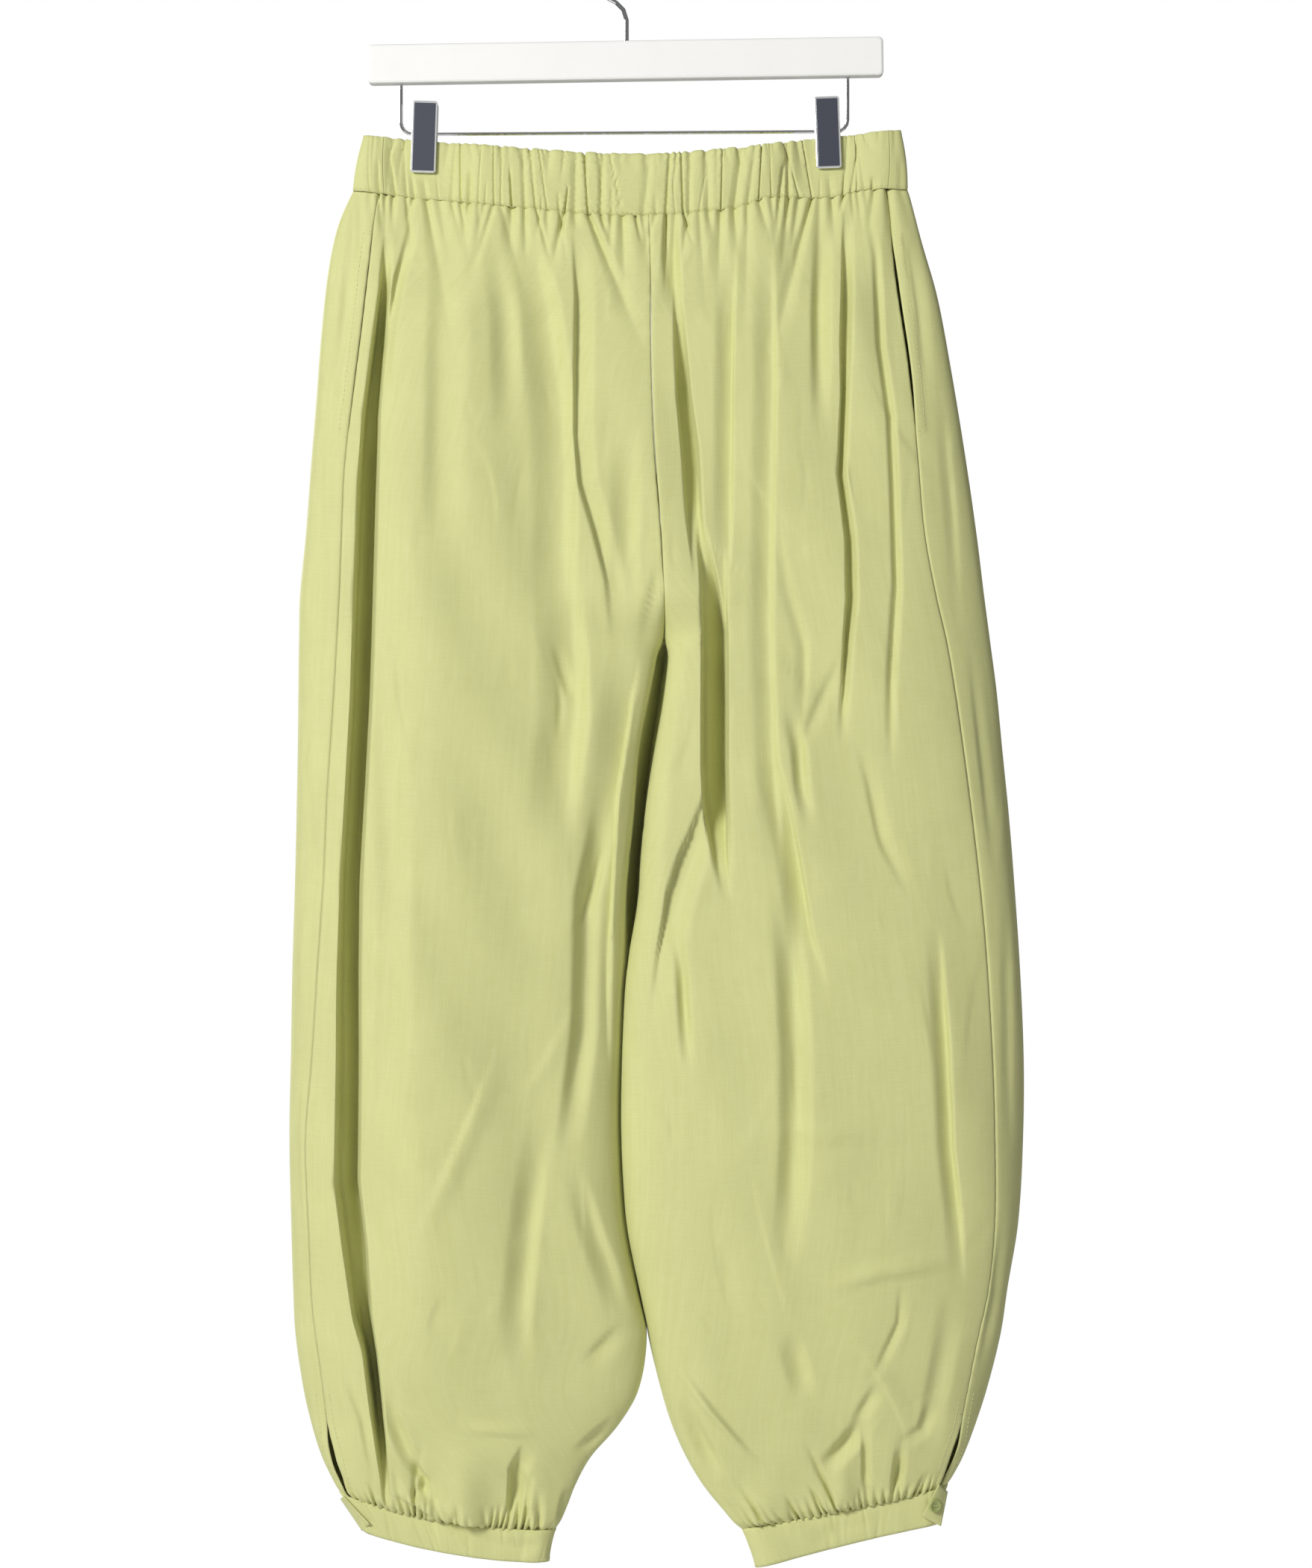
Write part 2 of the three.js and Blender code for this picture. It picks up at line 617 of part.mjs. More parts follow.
function addCuff(cuff) {
  const width = Math.hypot(cuff.top.outer[0] - cuff.top.inner[0], cuff.top.outer[1] - cuff.top.inner[1]);
  const path = cuffPath();
  const inside = path.map(([t, y], i) => {
    const a = path[Math.max(i - 1, 0)];
    const b = path[Math.min(i + 1, path.length - 1)];
    const dx = (b[0] - a[0]) * width;
    const dy = b[1] - a[1];
    const length = Math.hypot(dx, dy);
    return [t + (dy / length) * CUFF.wall / width, y - (dx / length) * CUFF.wall];
  });
  const drops = [0, 0.5, 1];
  const rows = (line) => drops.map((drop) => line.map(([t, y]) => cuffPoint(cuff, t, drop, y)));
  const name = cuff.side < 0 ? 'cuff_left' : 'cuff_right';
  addMesh(name, wallGeometry(rows(path), rows(inside), cuff.side > 0), cloth);
}

// Turns a closed three.js shape into a solid that can be cut, and back.
function toSolid(geometry) {
  const bare = geometry.clone();
  bare.deleteAttribute('normal');
  bare.deleteAttribute('uv');
  const merged = mergeVertices(bare, 1e-4);
  return new wasm.Manifold(new wasm.Mesh({
    numProp: 3,
    vertProperties: new Float32Array(merged.attributes.position.array),
    triVerts: new Uint32Array(merged.index.array),
  }));
}

function toGeometry(solid) {
  const mesh = solid.getMesh();
  const geometry = new THREE.BufferGeometry();
  geometry.setAttribute('position', new THREE.BufferAttribute(new Float32Array(mesh.vertProperties), 3));
  geometry.setIndex(new THREE.BufferAttribute(new Uint32Array(mesh.triVerts), 1));
  return geometry;
}

// A rounded plate with its face towards -Y, centred on the origin.
function plate(width, height, thick, round, bevel) {
  const w = width / 2 - bevel;
  const h = height / 2 - bevel;
  const r = Math.max(round - bevel, 0.2);
  const shape = new THREE.Shape();
  shape.moveTo(-w + r, -h);
  shape.lineTo(w - r, -h);
  shape.absarc(w - r, -h + r, r, -Math.PI / 2, 0);
  shape.absarc(w - r, h - r, r, 0, Math.PI / 2);
  shape.absarc(-w + r, h - r, r, Math.PI / 2, Math.PI);
  shape.absarc(-w + r, -h + r, r, Math.PI, 1.5 * Math.PI);
  const geometry = new THREE.ExtrudeGeometry(shape, {
    depth: thick - 2 * bevel,
    bevelEnabled: bevel > 0,
    bevelSize: bevel,
    bevelThickness: bevel,
    bevelSegments: 2,
    curveSegments: 4,
  });
  geometry.translate(0, 0, -(thick - 2 * bevel) / 2);
  geometry.rotateX(Math.PI / 2);
  return geometry;
}

// A round wire bent in the plane of the hanger, with one ring of points at each bend point.
function wireAlong(points, diameter) {
  const last = points.length - 1;
  const positions = [];
  points.forEach((point, i) => {
    const ahead = points[Math.min(i + 1, last)].clone().sub(points[Math.max(i - 1, 0)]).normalize();
    for (let k = 0; k < WIRE_SIDES; k += 1) {
      const turn = 2 * Math.PI * k / WIRE_SIDES;
      const out = (diameter / 2) * Math.cos(turn);
      positions.push(
        point.x + ahead.z * out,
        (diameter / 2) * Math.sin(turn),
        point.z - ahead.x * out,
      );
    }
  });
  const faces = [];
  for (let i = 0; i < last; i += 1) {
    for (let k = 0; k < WIRE_SIDES; k += 1) {
      const next = (k + 1) % WIRE_SIDES;
      const a = i * WIRE_SIDES + k;
      const b = i * WIRE_SIDES + next;
      faces.push(a, b, a + WIRE_SIDES, b, b + WIRE_SIDES, a + WIRE_SIDES);
    }
  }
  const end = last * WIRE_SIDES;
  for (let k = 1; k + 1 < WIRE_SIDES; k += 1) {
    faces.push(0, k + 1, k, end, end + k, end + k + 1);
  }
  const geometry = new THREE.BufferGeometry();
  geometry.setAttribute('position', new THREE.Float32BufferAttribute(positions, 3));
  geometry.setIndex(faces);
  return geometry;
}

function arcPoints(centreX, centreZ, radius, from, to, count) {
  const points = [];
  for (let i = 0; i <= count; i += 1) {
    const turn = lerp(from, to, i / count);
    points.push(new THREE.Vector3(centreX + radius * Math.cos(turn), 0, centreZ + radius * Math.sin(turn)));
  }
  return points;
}

function socket(x, fromZ, toZ, radius) {
  const geometry = new THREE.CylinderGeometry(radius, radius, toZ - fromZ, 16);
  geometry.rotateX(Math.PI / 2);
  geometry.translate(x, 0, (fromZ + toZ) / 2);
  return toSolid(geometry);
}

// The painted bar, with a socket for the hook and one for each end of the bow.
function addBar() {
  const geometry = plate(BAR.length, BAR.height, BAR.thick, 2 * BAR.round, BAR.round);
  geometry.rotateY(-BAR.tilt);
  geometry.translate(BAR.centreX, 0, BAR.centreZ);
  let solid = toSolid(geometry);
  const clear = SOCKET_CLEARANCE;
  const cuts = [
    socket(0, HOOK.shankFoot - clear, -50, HOOK.wire / 2 + clear),
    socket(BOW.left, -110, BOW.head + clear, BOW.wire / 2 + clear),
    socket(BOW.right, -110, BOW.head + clear, BOW.wire / 2 + clear),
  ];
  for (const cut of cuts) solid = solid.subtract(cut);
  addMesh('hanger_bar', toGeometry(solid), paint);
}

function addHook() {
  const radius = HOOK.inner + HOOK.wire / 2;
  const centreZ = -HOOK.inner;
  const points = [
    new THREE.Vector3(0, 0, HOOK.shankFoot),
    new THREE.Vector3(0, 0, -68),
    new THREE.Vector3(0, 0, HOOK.bendFoot),
    new THREE.Vector3(-2.2, 0, -45),
    new THREE.Vector3(-7, 0, -40.2),
    ...arcPoints(0, centreZ, radius, 1.28 * Math.PI, -0.11 * Math.PI, 14),
  ];
  addMesh('hanger_hook', wireAlong(points, HOOK.wire), chrome);
}

function addBow() {
  const r = BOW.corner;
  const [footLeft, footRight] = BOW.foot;
  const points = [
    new THREE.Vector3(BOW.left, 0, BOW.head),
    new THREE.Vector3(BOW.left, 0, footLeft + 2 * r),
    ...arcPoints(BOW.left + r, footLeft + r, r, Math.PI, 1.5 * Math.PI, 4),
    new THREE.Vector3(BOW.left + 3 * r, 0, footLeft),
    new THREE.Vector3(0, 0, (footLeft + footRight) / 2),
    new THREE.Vector3(BOW.right - 3 * r, 0, footRight),
    ...arcPoints(BOW.right - r, footRight + r, r, -0.5 * Math.PI, 0, 4),
    new THREE.Vector3(BOW.right, 0, footRight + 2 * r),
    new THREE.Vector3(BOW.right, 0, BOW.head),
  ];
  addMesh('hanger_bow', wireAlong(points, BOW.wire), chrome);
}

// A clip: two sprung jaws, a barrel between them that rides on the bow, and a dark face in a bright rim.
function addClip(clip) {
  const place = (geometry, y, x, z) => {
    geometry.translate(0, y, 0);
    geometry.rotateY(clip.turn);
    geometry.translate(x, 0, z);
    return geometry;
  };
  for (const [side, way] of [['front', -1], ['back', 1]]) {
    const middle = way * (CLIP.inner + CLIP.jaw / 2);
    const jaw = plate(CLIP.width, CLIP.height, CLIP.jaw, 2, 0.6);
    addMesh(`${clip.name}_${side}_jaw`, place(jaw, middle, clip.x, clip.z), chrome);
  }
  const bowZ = lerp(BOW.foot[0], BOW.foot[1], (clip.x - BOW.left) / (BOW.right - BOW.left));
  const barrelZ = bowZ + BOW.wire / 2 + SEAM_GAP + CLIP.barrel / 2;
  const barrel = plate(CLIP.width - 4, CLIP.barrel, 2 * CLIP.inner - 2 * SEAM_GAP, 3.4, 0);
  addMesh(`${clip.name}_barrel`, place(barrel, 0, clip.x, barrelZ), chrome);
}

// A four-hole button, thicker at its rim.
function buttonGeometry() {
  const { radius, thick, rim } = BUTTON;
  const profile = [
    [0, 0],
    [radius - 0.8, 0],
    [radius, thick * 0.45],
    [radius - 0.3, thick],
    [radius - 1.2, thick],
    [radius - 1.7, thick - rim],
    [0, thick - rim],
  ].map(([x, y]) => new THREE.Vector2(x, y));
  let solid = toSolid(new THREE.LatheGeometry(profile, 24));
  for (let i = 0; i < 4; i += 1) {
    const turn = (i + 0.5) * Math.PI / 2;
    const hole = new THREE.CylinderGeometry(BUTTON.hole, BUTTON.hole, 4 * thick, 8);
    hole.translate(BUTTON.spread * Math.cos(turn), 0, BUTTON.spread * Math.sin(turn));
    solid = solid.subtract(toSolid(hole));
  }
  const geometry = toGeometry(solid);
  geometry.rotateX(Math.PI);
  geometry.rotateX(Math.PI / 2);
  return geometry;
}

function addButton(cuff) {
  const tabFace = CUFF.depth + CUFF.wall + 0.8;
  const at = cuffPoint(cuff, 0.93, 0.5, -tabFace - SEAM_GAP);
  const geometry = buttonGeometry();
  geometry.computeBoundingBox();
  geometry.translate(at.x, at.y - geometry.boundingBox.max.y, at.z);
  addMesh(cuff.side < 0 ? 'button_left' : 'button_right', geometry, horn);
}

addBar();
addHook();
addBow();
CLIPS.forEach(addClip);
addWaistband('front');
addWaistband('back');
addLeg(LEFT_LEG);
addLeg(RIGHT_LEG);
addCuff(CUFF_LEFT);
addCuff(CUFF_RIGHT);
addButton(CUFF_LEFT);
addButton(CUFF_RIGHT);

export default group;
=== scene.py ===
"""Looks of a pair of balloon trousers hung flat from a bar hanger by two clips.

Lengths in the tables are millimetres in the model's own frame: +X right, +Z up, the shown face
towards -Y, the origin at the inner top of the hook. Meshes are made in metres.
"""
import math

import bpy
import numpy as np
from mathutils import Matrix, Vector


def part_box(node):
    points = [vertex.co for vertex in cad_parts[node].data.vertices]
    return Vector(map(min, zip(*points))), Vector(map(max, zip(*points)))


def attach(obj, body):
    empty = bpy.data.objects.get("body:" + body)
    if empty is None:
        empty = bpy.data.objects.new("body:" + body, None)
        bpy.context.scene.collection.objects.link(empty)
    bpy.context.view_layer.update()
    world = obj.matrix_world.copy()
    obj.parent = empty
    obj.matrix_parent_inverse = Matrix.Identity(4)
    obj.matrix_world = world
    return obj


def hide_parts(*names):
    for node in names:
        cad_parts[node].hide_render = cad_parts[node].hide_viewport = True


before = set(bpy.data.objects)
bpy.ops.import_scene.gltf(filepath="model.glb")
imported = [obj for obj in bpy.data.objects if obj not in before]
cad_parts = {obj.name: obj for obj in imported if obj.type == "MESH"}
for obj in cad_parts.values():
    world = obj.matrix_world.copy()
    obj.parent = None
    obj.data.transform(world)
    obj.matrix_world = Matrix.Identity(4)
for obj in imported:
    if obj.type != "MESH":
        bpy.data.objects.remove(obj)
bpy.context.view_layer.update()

MM = 0.001
BODY = "root"

# Driving dimensions of the cloth.
CLOTH_THICK = 0.8
CROTCH_Z = -474.3
WAIST_SIDE_Z = -168.0
WAIST_CENTRE_Z = -186.0
INNER_END_Z = -1083.0
SECTION_POWER = 0.8
INNER_POWER = 0.5
CLEFT_POWER = 0.24
LEG_GAP = 0.8
LEAN = 7.0
CLEFT = 5.5
CLEFT_DEEP = 20.0
CLEFT_TOP = (474, 488)
CLEFT_FOOT = (640, 700)
CLEFT_OVERLAP = 1.7
SPLIT_ABOVE = 110
LEAN_FULL = (640, 720)
LEAN_END = (860, 950)
LEAN_SHARE = 0.35
SEAM_DENT = 0.45
SEAM_PUCKER = 0.3
SEAM_WIDE = 1.2
SLIT_TOP = -1003.0
SLIT_OPEN = 4.2
SLIT_STITCH = 5.6
POCKET_TOP = -197.0
POCKET_FOOT = -337.0
POCKET_OPEN = {"left": 0.3, "right": 1.6}
POCKET_EDGE = 7.0
BAND_DEPTH = 9.9
BAND_LAP = 1.3
BAND_POWER = 0.5
BAND_CUT = 48.0
BAND_PUFF = 1.7
BAND_TUCK = 2.6
BAND_RIM = 0.9
BAND_TURN_IN = 7.0
BAND_STITCHES = 1.1
BAND_SEAMS = (-165.0, 178.0)
BAND_EDGES_TOP = (-179.0, 186.7)
BAND_EDGES_FOOT = (-186.7, 191.8)
PINCH_CENTRES = (-138.0, 137.5)
PINCH_FLAT = 12.0
PINCH_REACH = 40.0
PINCH_TOP = 0.68
PINCH_SEAM = 0.4
PINCH_FOOT = 0.62
CUFF_DEPTH = 10.2
CUFF_WALL = 1.6
CUFF_LAP = 1.3
CUFF_WIDTH = 155.0
CUFF_CUT = 24.0
CUFF_BULGE = 0.9
CUFF_RIPPLE = 0.35
CUFF_DENTS = 46
CUFF_STITCHES = (1.0, 11.9)
TAB_THICK = 1.1
INNER_EDGE_GAP = 0.05

# Mesh density: rows, columns and the finer steps that columns are picked from. EVEN_ROWS is how
# many rows above and below share their spacing with a row.
ROWS = 264
COLUMNS = 172
FINE = 480
EVEN_ROWS = 8
BAND_ROWS = 26
BAND_COLUMNS = 640
BAND_FINE = 2600
CUFF_ROWS = 14
CUFF_FINE = 1200
CUFF_EVERY = 3
TAB_STEPS = 16
BUTTON_SIDES = 32


def lerp(a, b, t):
    return a + (b - a) * t


def smooth(a, b, value):
    """A soft step from 0 at a to 1 at b."""
    t = np.clip((np.asarray(value, float) - a) / (b - a), 0.0, 1.0)
    return t * t * (3.0 - 2.0 * t)


def running(steps):
    """Distances from the start of each row, out of the steps between its points."""
    start = np.zeros((*steps.shape[:-1], 1))
    return np.concatenate([start, np.cumsum(steps, axis=-1)], axis=-1)


def step_lengths(x, y):
    return np.hypot(np.diff(x, axis=1), np.diff(y, axis=1))


def read(rows, column, at):
    """Reads a column of a table by its falling first column, with a soft curve through the rows."""
    table = np.array(rows, float)
    key = -table[:, 0]
    value = table[:, column]
    spot = np.clip(-np.asarray(at, float), key[0], key[-1])
    i = np.clip(np.searchsorted(key, spot, side="right") - 1, 0, len(key) - 2)
    before = np.maximum(i - 1, 0)
    after = np.minimum(i + 2, len(key) - 1)
    span = key[i + 1] - key[i]
    t = (spot - key[i]) / span
    slope_a = (value[i + 1] - value[before]) / (key[i + 1] - key[before])
    slope_b = (value[after] - value[i]) / (key[after] - key[i])
    t2 = t * t
    t3 = t2 * t
    return (
        (2 * t3 - 3 * t2 + 1) * value[i]
        + (t3 - 2 * t2 + t) * span * slope_a
        + (3 * t2 - 2 * t3) * value[i + 1]
        + (t3 - t2) * span * slope_b
    )


# Sections of each leg: z, outer edge, inner edge or centre seam, side seam.
LEFT_LEG = {
    "side": -1,
    "name": "left",
    "end": -1058.0,
    "rows": [
        (-168, -186.7, 15.3, -168.8),
        (-194, -197.4, 15.6, -172.4),
        (-226, -204.0, 16.5, -175.8),
        (-269, -208.6, 16.8, -180.5),
        (-317, -212.2, 17.9, -186.5),
        (-360, -215.7, 20.0, -191.0),
        (-402, -218.8, 23.5, -192.7),
        (-445, -222.9, 25.8, -194.0),
        (-474, -223.6, 27.5, -195.7),
        (-510, -224.0, 23.0, -197.7),
        (-550, -224.4, 17.0, -200.2),
        (-594, -225.2, 12.0, -203.0),
        (-640, -226.2, 7.5, -205.3),
        (-700, -228.0, 4.5, -208.7),
        (-761, -229.0, 2.5, -213.0),
        (-814, -230.0, 2.0, -216.6),
        (-872, -228.8, 5.0, -215.2),
        (-917, -227.5, 9.5, -213.7),
        (-949, -225.9, 14.2, -210.5),
        (-986, -220.5, 8.7, -206.0),
        (-1010, -215.0, -4.6, -202.5),
        (-1032, -208.0, -23.5, -197.5),
        (-1051, -199.0, -34.2, -191.0),
        (-1069, -191.0, -41.3, -187.0),
        (-1083, -188.0, -47.9, -185.0),
    ],
}
RIGHT_LEG = {
    "side": 1,
    "name": "right",
    "end": -1053.0,
    "rows": [
        (-167, 191.8, 15.3, 178.0),
        (-186, 196.7, 15.3, 180.0),
        (-204, 201.4, 15.8, 181.0),
        (-242, 212.2, 16.6, 185.5),
        (-290, 221.3, 17.2, 192.2),
        (-349, 231.0, 19.5, 197.5),
        (-402, 238.7, 23.5, 202.0),
        (-445, 244.0, 25.8, 210.0),
        (-474, 247.8, 27.5, 217.0),
        (-510, 252.5, 23.0, 223.0),
        (-550, 256.4, 17.0, 228.5),
        (-594, 260.8, 12.0, 234.0),
        (-640, 264.5, 7.5, 239.2),
        (-700, 268.5, 4.5, 244.8),
        (-761, 271.0, 2.5, 248.3),
        (-814, 270.6, 2.0, 249.4),
        (-872, 267.3, 5.0, 249.0),
        (-917, 260.0, 9.5, 245.0),
        (-949, 255.2, 14.2, 238.0),
        (-986, 246.0, 22.9, 230.8),
        (-1010, 238.2, 30.2, 225.8),
        (-1032, 229.6, 39.9, 219.4),
        (-1051, 219.8, 51.5, 213.0),
        (-1069, 213.0, 66.4, 208.0),
        (-1083, 211.0, 78.0, 206.0),
    ],
}

# Half the thickness of the hanging garment: z, front, back.
DEPTH = [
    (-168, 9.5, 9.5),
    (-200, 14, 15),
    (-250, 20, 23),
    (-320, 25, 31),
    (-400, 29, 35),
    (-474, 32, 36),
    (-550, 37, 38),
    (-620, 40, 40),
    (-700, 43, 43),
    (-800, 45, 46),
    (-870, 44, 45),
    (-930, 40, 42),
    (-980, 34, 36),
    (-1020, 27, 28),
    (-1050, 17, 17),
    (-1083, 11, 11),
]

# The seam under the waistband and the waistband's top edge: x, z.
WAIST_LINE = [
    (192, -167.0),
    (163, -167.5),
    (137, -172.5),
    (95, -173.5),
    (77, -180.0),
    (5, -186.0),
    (-58, -181.6),
    (-114, -176.0),
    (-187, -167.8),
]
BAND_TOP = [
    (187, -128.5),
    (137, -133.2),
    (70, -141.5),
    (5, -145.4),
    (-70, -141.5),
    (-138, -135.6),
    (-179, -132.2),
]

# Folds, each from its top end down or from its left end across: the width on the left or lower
# side, the width on the right or upper side, the depth (ridges are negative), then its points x, z.
# A third number in a point is half the width of the fold's flat floor there.
FRONT_FOLDS = {
    "left": [
        (1.3, 2.0, 15, [(-182, -905, 1.5), (-178, -931, 2.4), (-173.4, -960, 2.5), (-169.2, -997, 2.4),
            (-166.2, -1019, 2.2), (-163.8, -1041, 1.6), (-162, -1072, 0.6)]),
        (8, 6, 5, [(-160, -975), (-157, -997), (-151, -1012), (-146, -1024), (-137, -1040)]),
        (2.6, 13, -7.5, [(-163, -1044), (-149.3, -1052.4), (-132.7, -1061.2), (-128.3, -1067.8),
            (-119, -1073)]),
        (1.6, 6, 27, [(-163.7, -198, 0.2), (-166, -238, 0.8), (-174.5, -324, 3), (-176.5, -370, 4.2),
            (-178.5, -440, 4.4), (-180.5, -516, 4.4), (-184, -585, 4.4), (-187, -640, 4.6),
            (-188.5, -700, 5), (-188.5, -760, 5.4), (-189.5, -843, 5.6), (-184.5, -883, 5.4),
            (-179.5, -931, 3.5), (-174, -956, 1.6), (-168, -1007, 0.8), (-164, -1046, 0.4)]),
        (9, 1.4, 9, [(-169, -300), (-172, -370), (-174, -440), (-176, -516), (-179.5, -585),
            (-182.4, -640), (-183, -700), (-182.6, -760), (-183.4, -843), (-178.5, -883), (-175, -925)]),
        (3, 7, 6, [(-142.8, -178), (-152.5, -218), (-156, -231), (-160, -256), (-163, -276),
            (-163.7, -335)]),
        (45, 85, -9, [(-132, -215), (-140, -400), (-138, -700), (-130, -1010)]),
        (12, 20, 3.5, [(-123.4, -200), (-125, -293), (-127, -430)]),
        (12, 12, 3.5, [(-90, -192), (-82, -258), (-80, -350)]),
        (22, 12, 6.5, [(-70.4, -178), (-64, -215), (-55, -250), (-46, -312), (-44.4, -347), (-43, -395),
            (-46, -470)]),
        (2.5, 13, 6, [(-36, -188), (-33, -243), (-33.7, -294), (-33.7, -337), (-30.9, -370),
            (-22, -399), (-12.3, -436), (-8.7, -484)]),
        (14, 10, 4, [(2, -320), (1, -400), (-1, -480)]),
        (26, 12, 8.5, [(-42, -420), (-36, -490), (-35, -526), (-40, -565), (-46, -620)]),
        (3, 8, 2.4, [(-50, -478), (-40, -510), (-30, -520)]),
        (4, 3, 1.6, [(-47, -496), (-44, -520), (-46, -545)]),
        (24, 1.5, 7, [(13, -474), (10, -487), (3.3, -516), (-3.6, -563), (-6.5, -584), (-8.8, -624),
            (-11.4, -674), (-12.2, -775)]),
        (2, 7, 3, [(21.5, -426), (15, -455), (8, -480)]),
        (9, 12, 9, [(-14, -575), (-20, -615), (-27.5, -650), (-28.6, -701), (-29.6, -740),
            (-38.8, -811), (-34, -832)]),
        (3, 6, 4, [(-14, -612), (-25, -648), (-36, -676)]),
        (12, 7, 6, [(-35, -829), (-20, -880), (-11.7, -901), (-2, -940)]),
        (2.5, 14, -2.2, [(-83, -745), (-101.5, -793), (-122, -839), (-133.6, -861), (-142, -890)]),
        (14, 10, 5, [(-54.6, -790), (-65.3, -865), (-72.4, -931), (-68, -978)]),
        (12, 16, 3, [(-162, -490), (-158, -650), (-160, -810)]),
        (3, 14, 3.5, [(-1, -936), (-31, -963)]),
        (3, 8, -2.5, [(-114, -1003), (-82, -1007), (-56, -1010)]),
        (3, 13, 10, [(-69, -1016), (-77.4, -1034), (-78, -1047), (-80, -1070)]),
        (6, 4, 7, [(-146, -1024), (-141.5, -1031), (-136, -1039), (-138, -1047), (-149, -1053)]),
        (6, 9, 5, [(-6, -1003), (-35, -1026)]),
        (5, 6, 4, [(-40, -1050), (-46, -1078)]),
        (4, 10, 3, [(-196, -955), (-178, -1000), (-170, -1045)]),
        (3, 8, 2.2, [(-190, -200), (-192, -250), (-197, -300)]),
        (9, 3, 1.6, [(-206, -330), (-206, -420), (-210, -500)]),
        (3, 9, 1.8, [(-219, -540), (-213, -640), (-219, -720)]),
        (2, 6, 1.2, [(-221, -568), (-212, -536)]),
        (2, 6, 1.2, [(-222, -640), (-213, -606)]),
        (8, 3, 1.6, [(-222, -760), (-223, -840), (-218, -900)]),
        (3, 6, 2.4, [(-214, -930), (-209, -980), (-202, -1020)]),
    ],
    "right": [
        (7, 9, 6, [(134.6, -174), (133, -204), (131, -252), (131, -340)]),
        (1.6, 6, 9, [(149, -176), (148.6, -204, 0.6), (148, -240, 1), (147, -276, 1), (146.4, -310),
            (144, -365), (149.7, -409, 0.8), (150.6, -448, 0.8), (147.7, -479), (144, -552)]),
        (4, 4, 4.5, [(164, -180), (170, -215), (172.4, -276), (179, -324), (181, -370), (182.9, -438),
            (179, -497), (177.5, -570)]),
        (26, 30, 3.5, [(172, -185), (180, -260), (186, -330)]),
        (8, 6, 6, [(31.8, -180), (31.5, -215), (34, -262)]),
        (2.0, 3.5, 14, [(33.5, -232, 0.6), (36, -275, 2), (38.5, -312, 3), (42.5, -347, 4),
            (45.5, -395, 3.5), (50, -436, 3)]),
        (2.4, 1.6, 22, [(50, -396, 1), (56, -436, 4.5), (59.5, -470, 6.4), (59.5, -520, 7),
            (59.5, -560, 7), (60.5, -590, 6.5), (63, -618, 4), (68, -652, 1)]),
        (14, 1.4, 12, [(65, -410), (67, -450), (68, -480), (68.1, -520), (68.1, -570), (69, -600),
            (70, -640)]),
        (13, 1.8, 5, [(74, -204), (72, -258), (71.3, -312), (70.4, -395), (68, -446)]),
        (1.5, 15, 8, [(56, -556), (52.9, -586, 1), (44.3, -610, 2), (38.4, -624, 2.5),
            (30.6, -649, 2.5), (24, -684, 1.5), (15, -735)]),
        (14, 4, 4, [(97, -200), (99, -300), (97, -380), (96, -470), (99, -560), (104, -650)]),
        (8, 2.2, 2.6, [(100.9, -390), (110, -440), (121.4, -479), (121.4, -506), (116.5, -547)]),
        (7, 6, 6, [(108, -520), (116.5, -549), (118.4, -575), (124.3, -604)]),
        (2, 9, 2.2, [(146, -484), (124.3, -530), (115, -552)]),
        (17, 1.8, 9, [(96, -540), (110.6, -594), (117.5, -633), (124.3, -676), (131, -696), (135, -716)]),
        (13, 12, 8, [(106, -640), (111.7, -701), (114, -752), (114, -811), (111.7, -854), (106, -905)]),
        (3, 9, 2.8, [(153.6, -541), (163.3, -573), (171.2, -612), (194, -655)]),
        (3, 10, -2.6, [(94, -802), (119.3, -811), (166, -811)]),
        (6, 10, -3.2, [(128, -914), (171.4, -902), (228, -895)]),
        (2, 7, 2.6, [(184.6, -908), (183, -936), (171, -962), (162, -977)]),
        (11, 2.5, 7, [(209.6, -665), (215.7, -752), (218.8, -819), (223.9, -864), (227, -915)]),
        (6, 5, 7, [(33, -664), (38, -700), (42.3, -770)]),
        (5, 4, -4.5, [(30, -962), (56.6, -997), (81.6, -1026), (93, -1035)]),
        (11, 6, 8, [(38, -990), (52, -1018), (66, -1046)]),
        (12, 9, 4, [(109, -942), (123, -988)]),
        (4, 9, 3.4, [(170, -977), (152, -1007)]),
        (6, 10, 7, [(162, -1000), (148, -1018), (131, -1037)]),
        (3, 5, 4, [(160.7, -1002), (161.7, -1040), (163.7, -1058)]),
        (4, 9, 3.4, [(206, -990), (199, -1009), (185, -1018)]),
        (4, 7, 5.5, [(185, -1022), (181.6, -1054)]),
        (9, 12, 3.2, [(220, -912), (213.7, -956), (207, -992), (203, -1036)]),
        (3, 8, 2.4, [(192, -200), (199, -250), (204, -310)]),
        (8, 3, 2.0, [(214, -300), (222, -390), (226, -470)]),
        (3, 8, 2.2, [(232, -470), (241, -560), (249, -650)]),
        (7, 3, 1.8, [(256, -640), (260, -740), (261, -830)]),
        (3, 7, 2.2, [(254, -860), (249, -920), (238, -980)]),
    ],
}
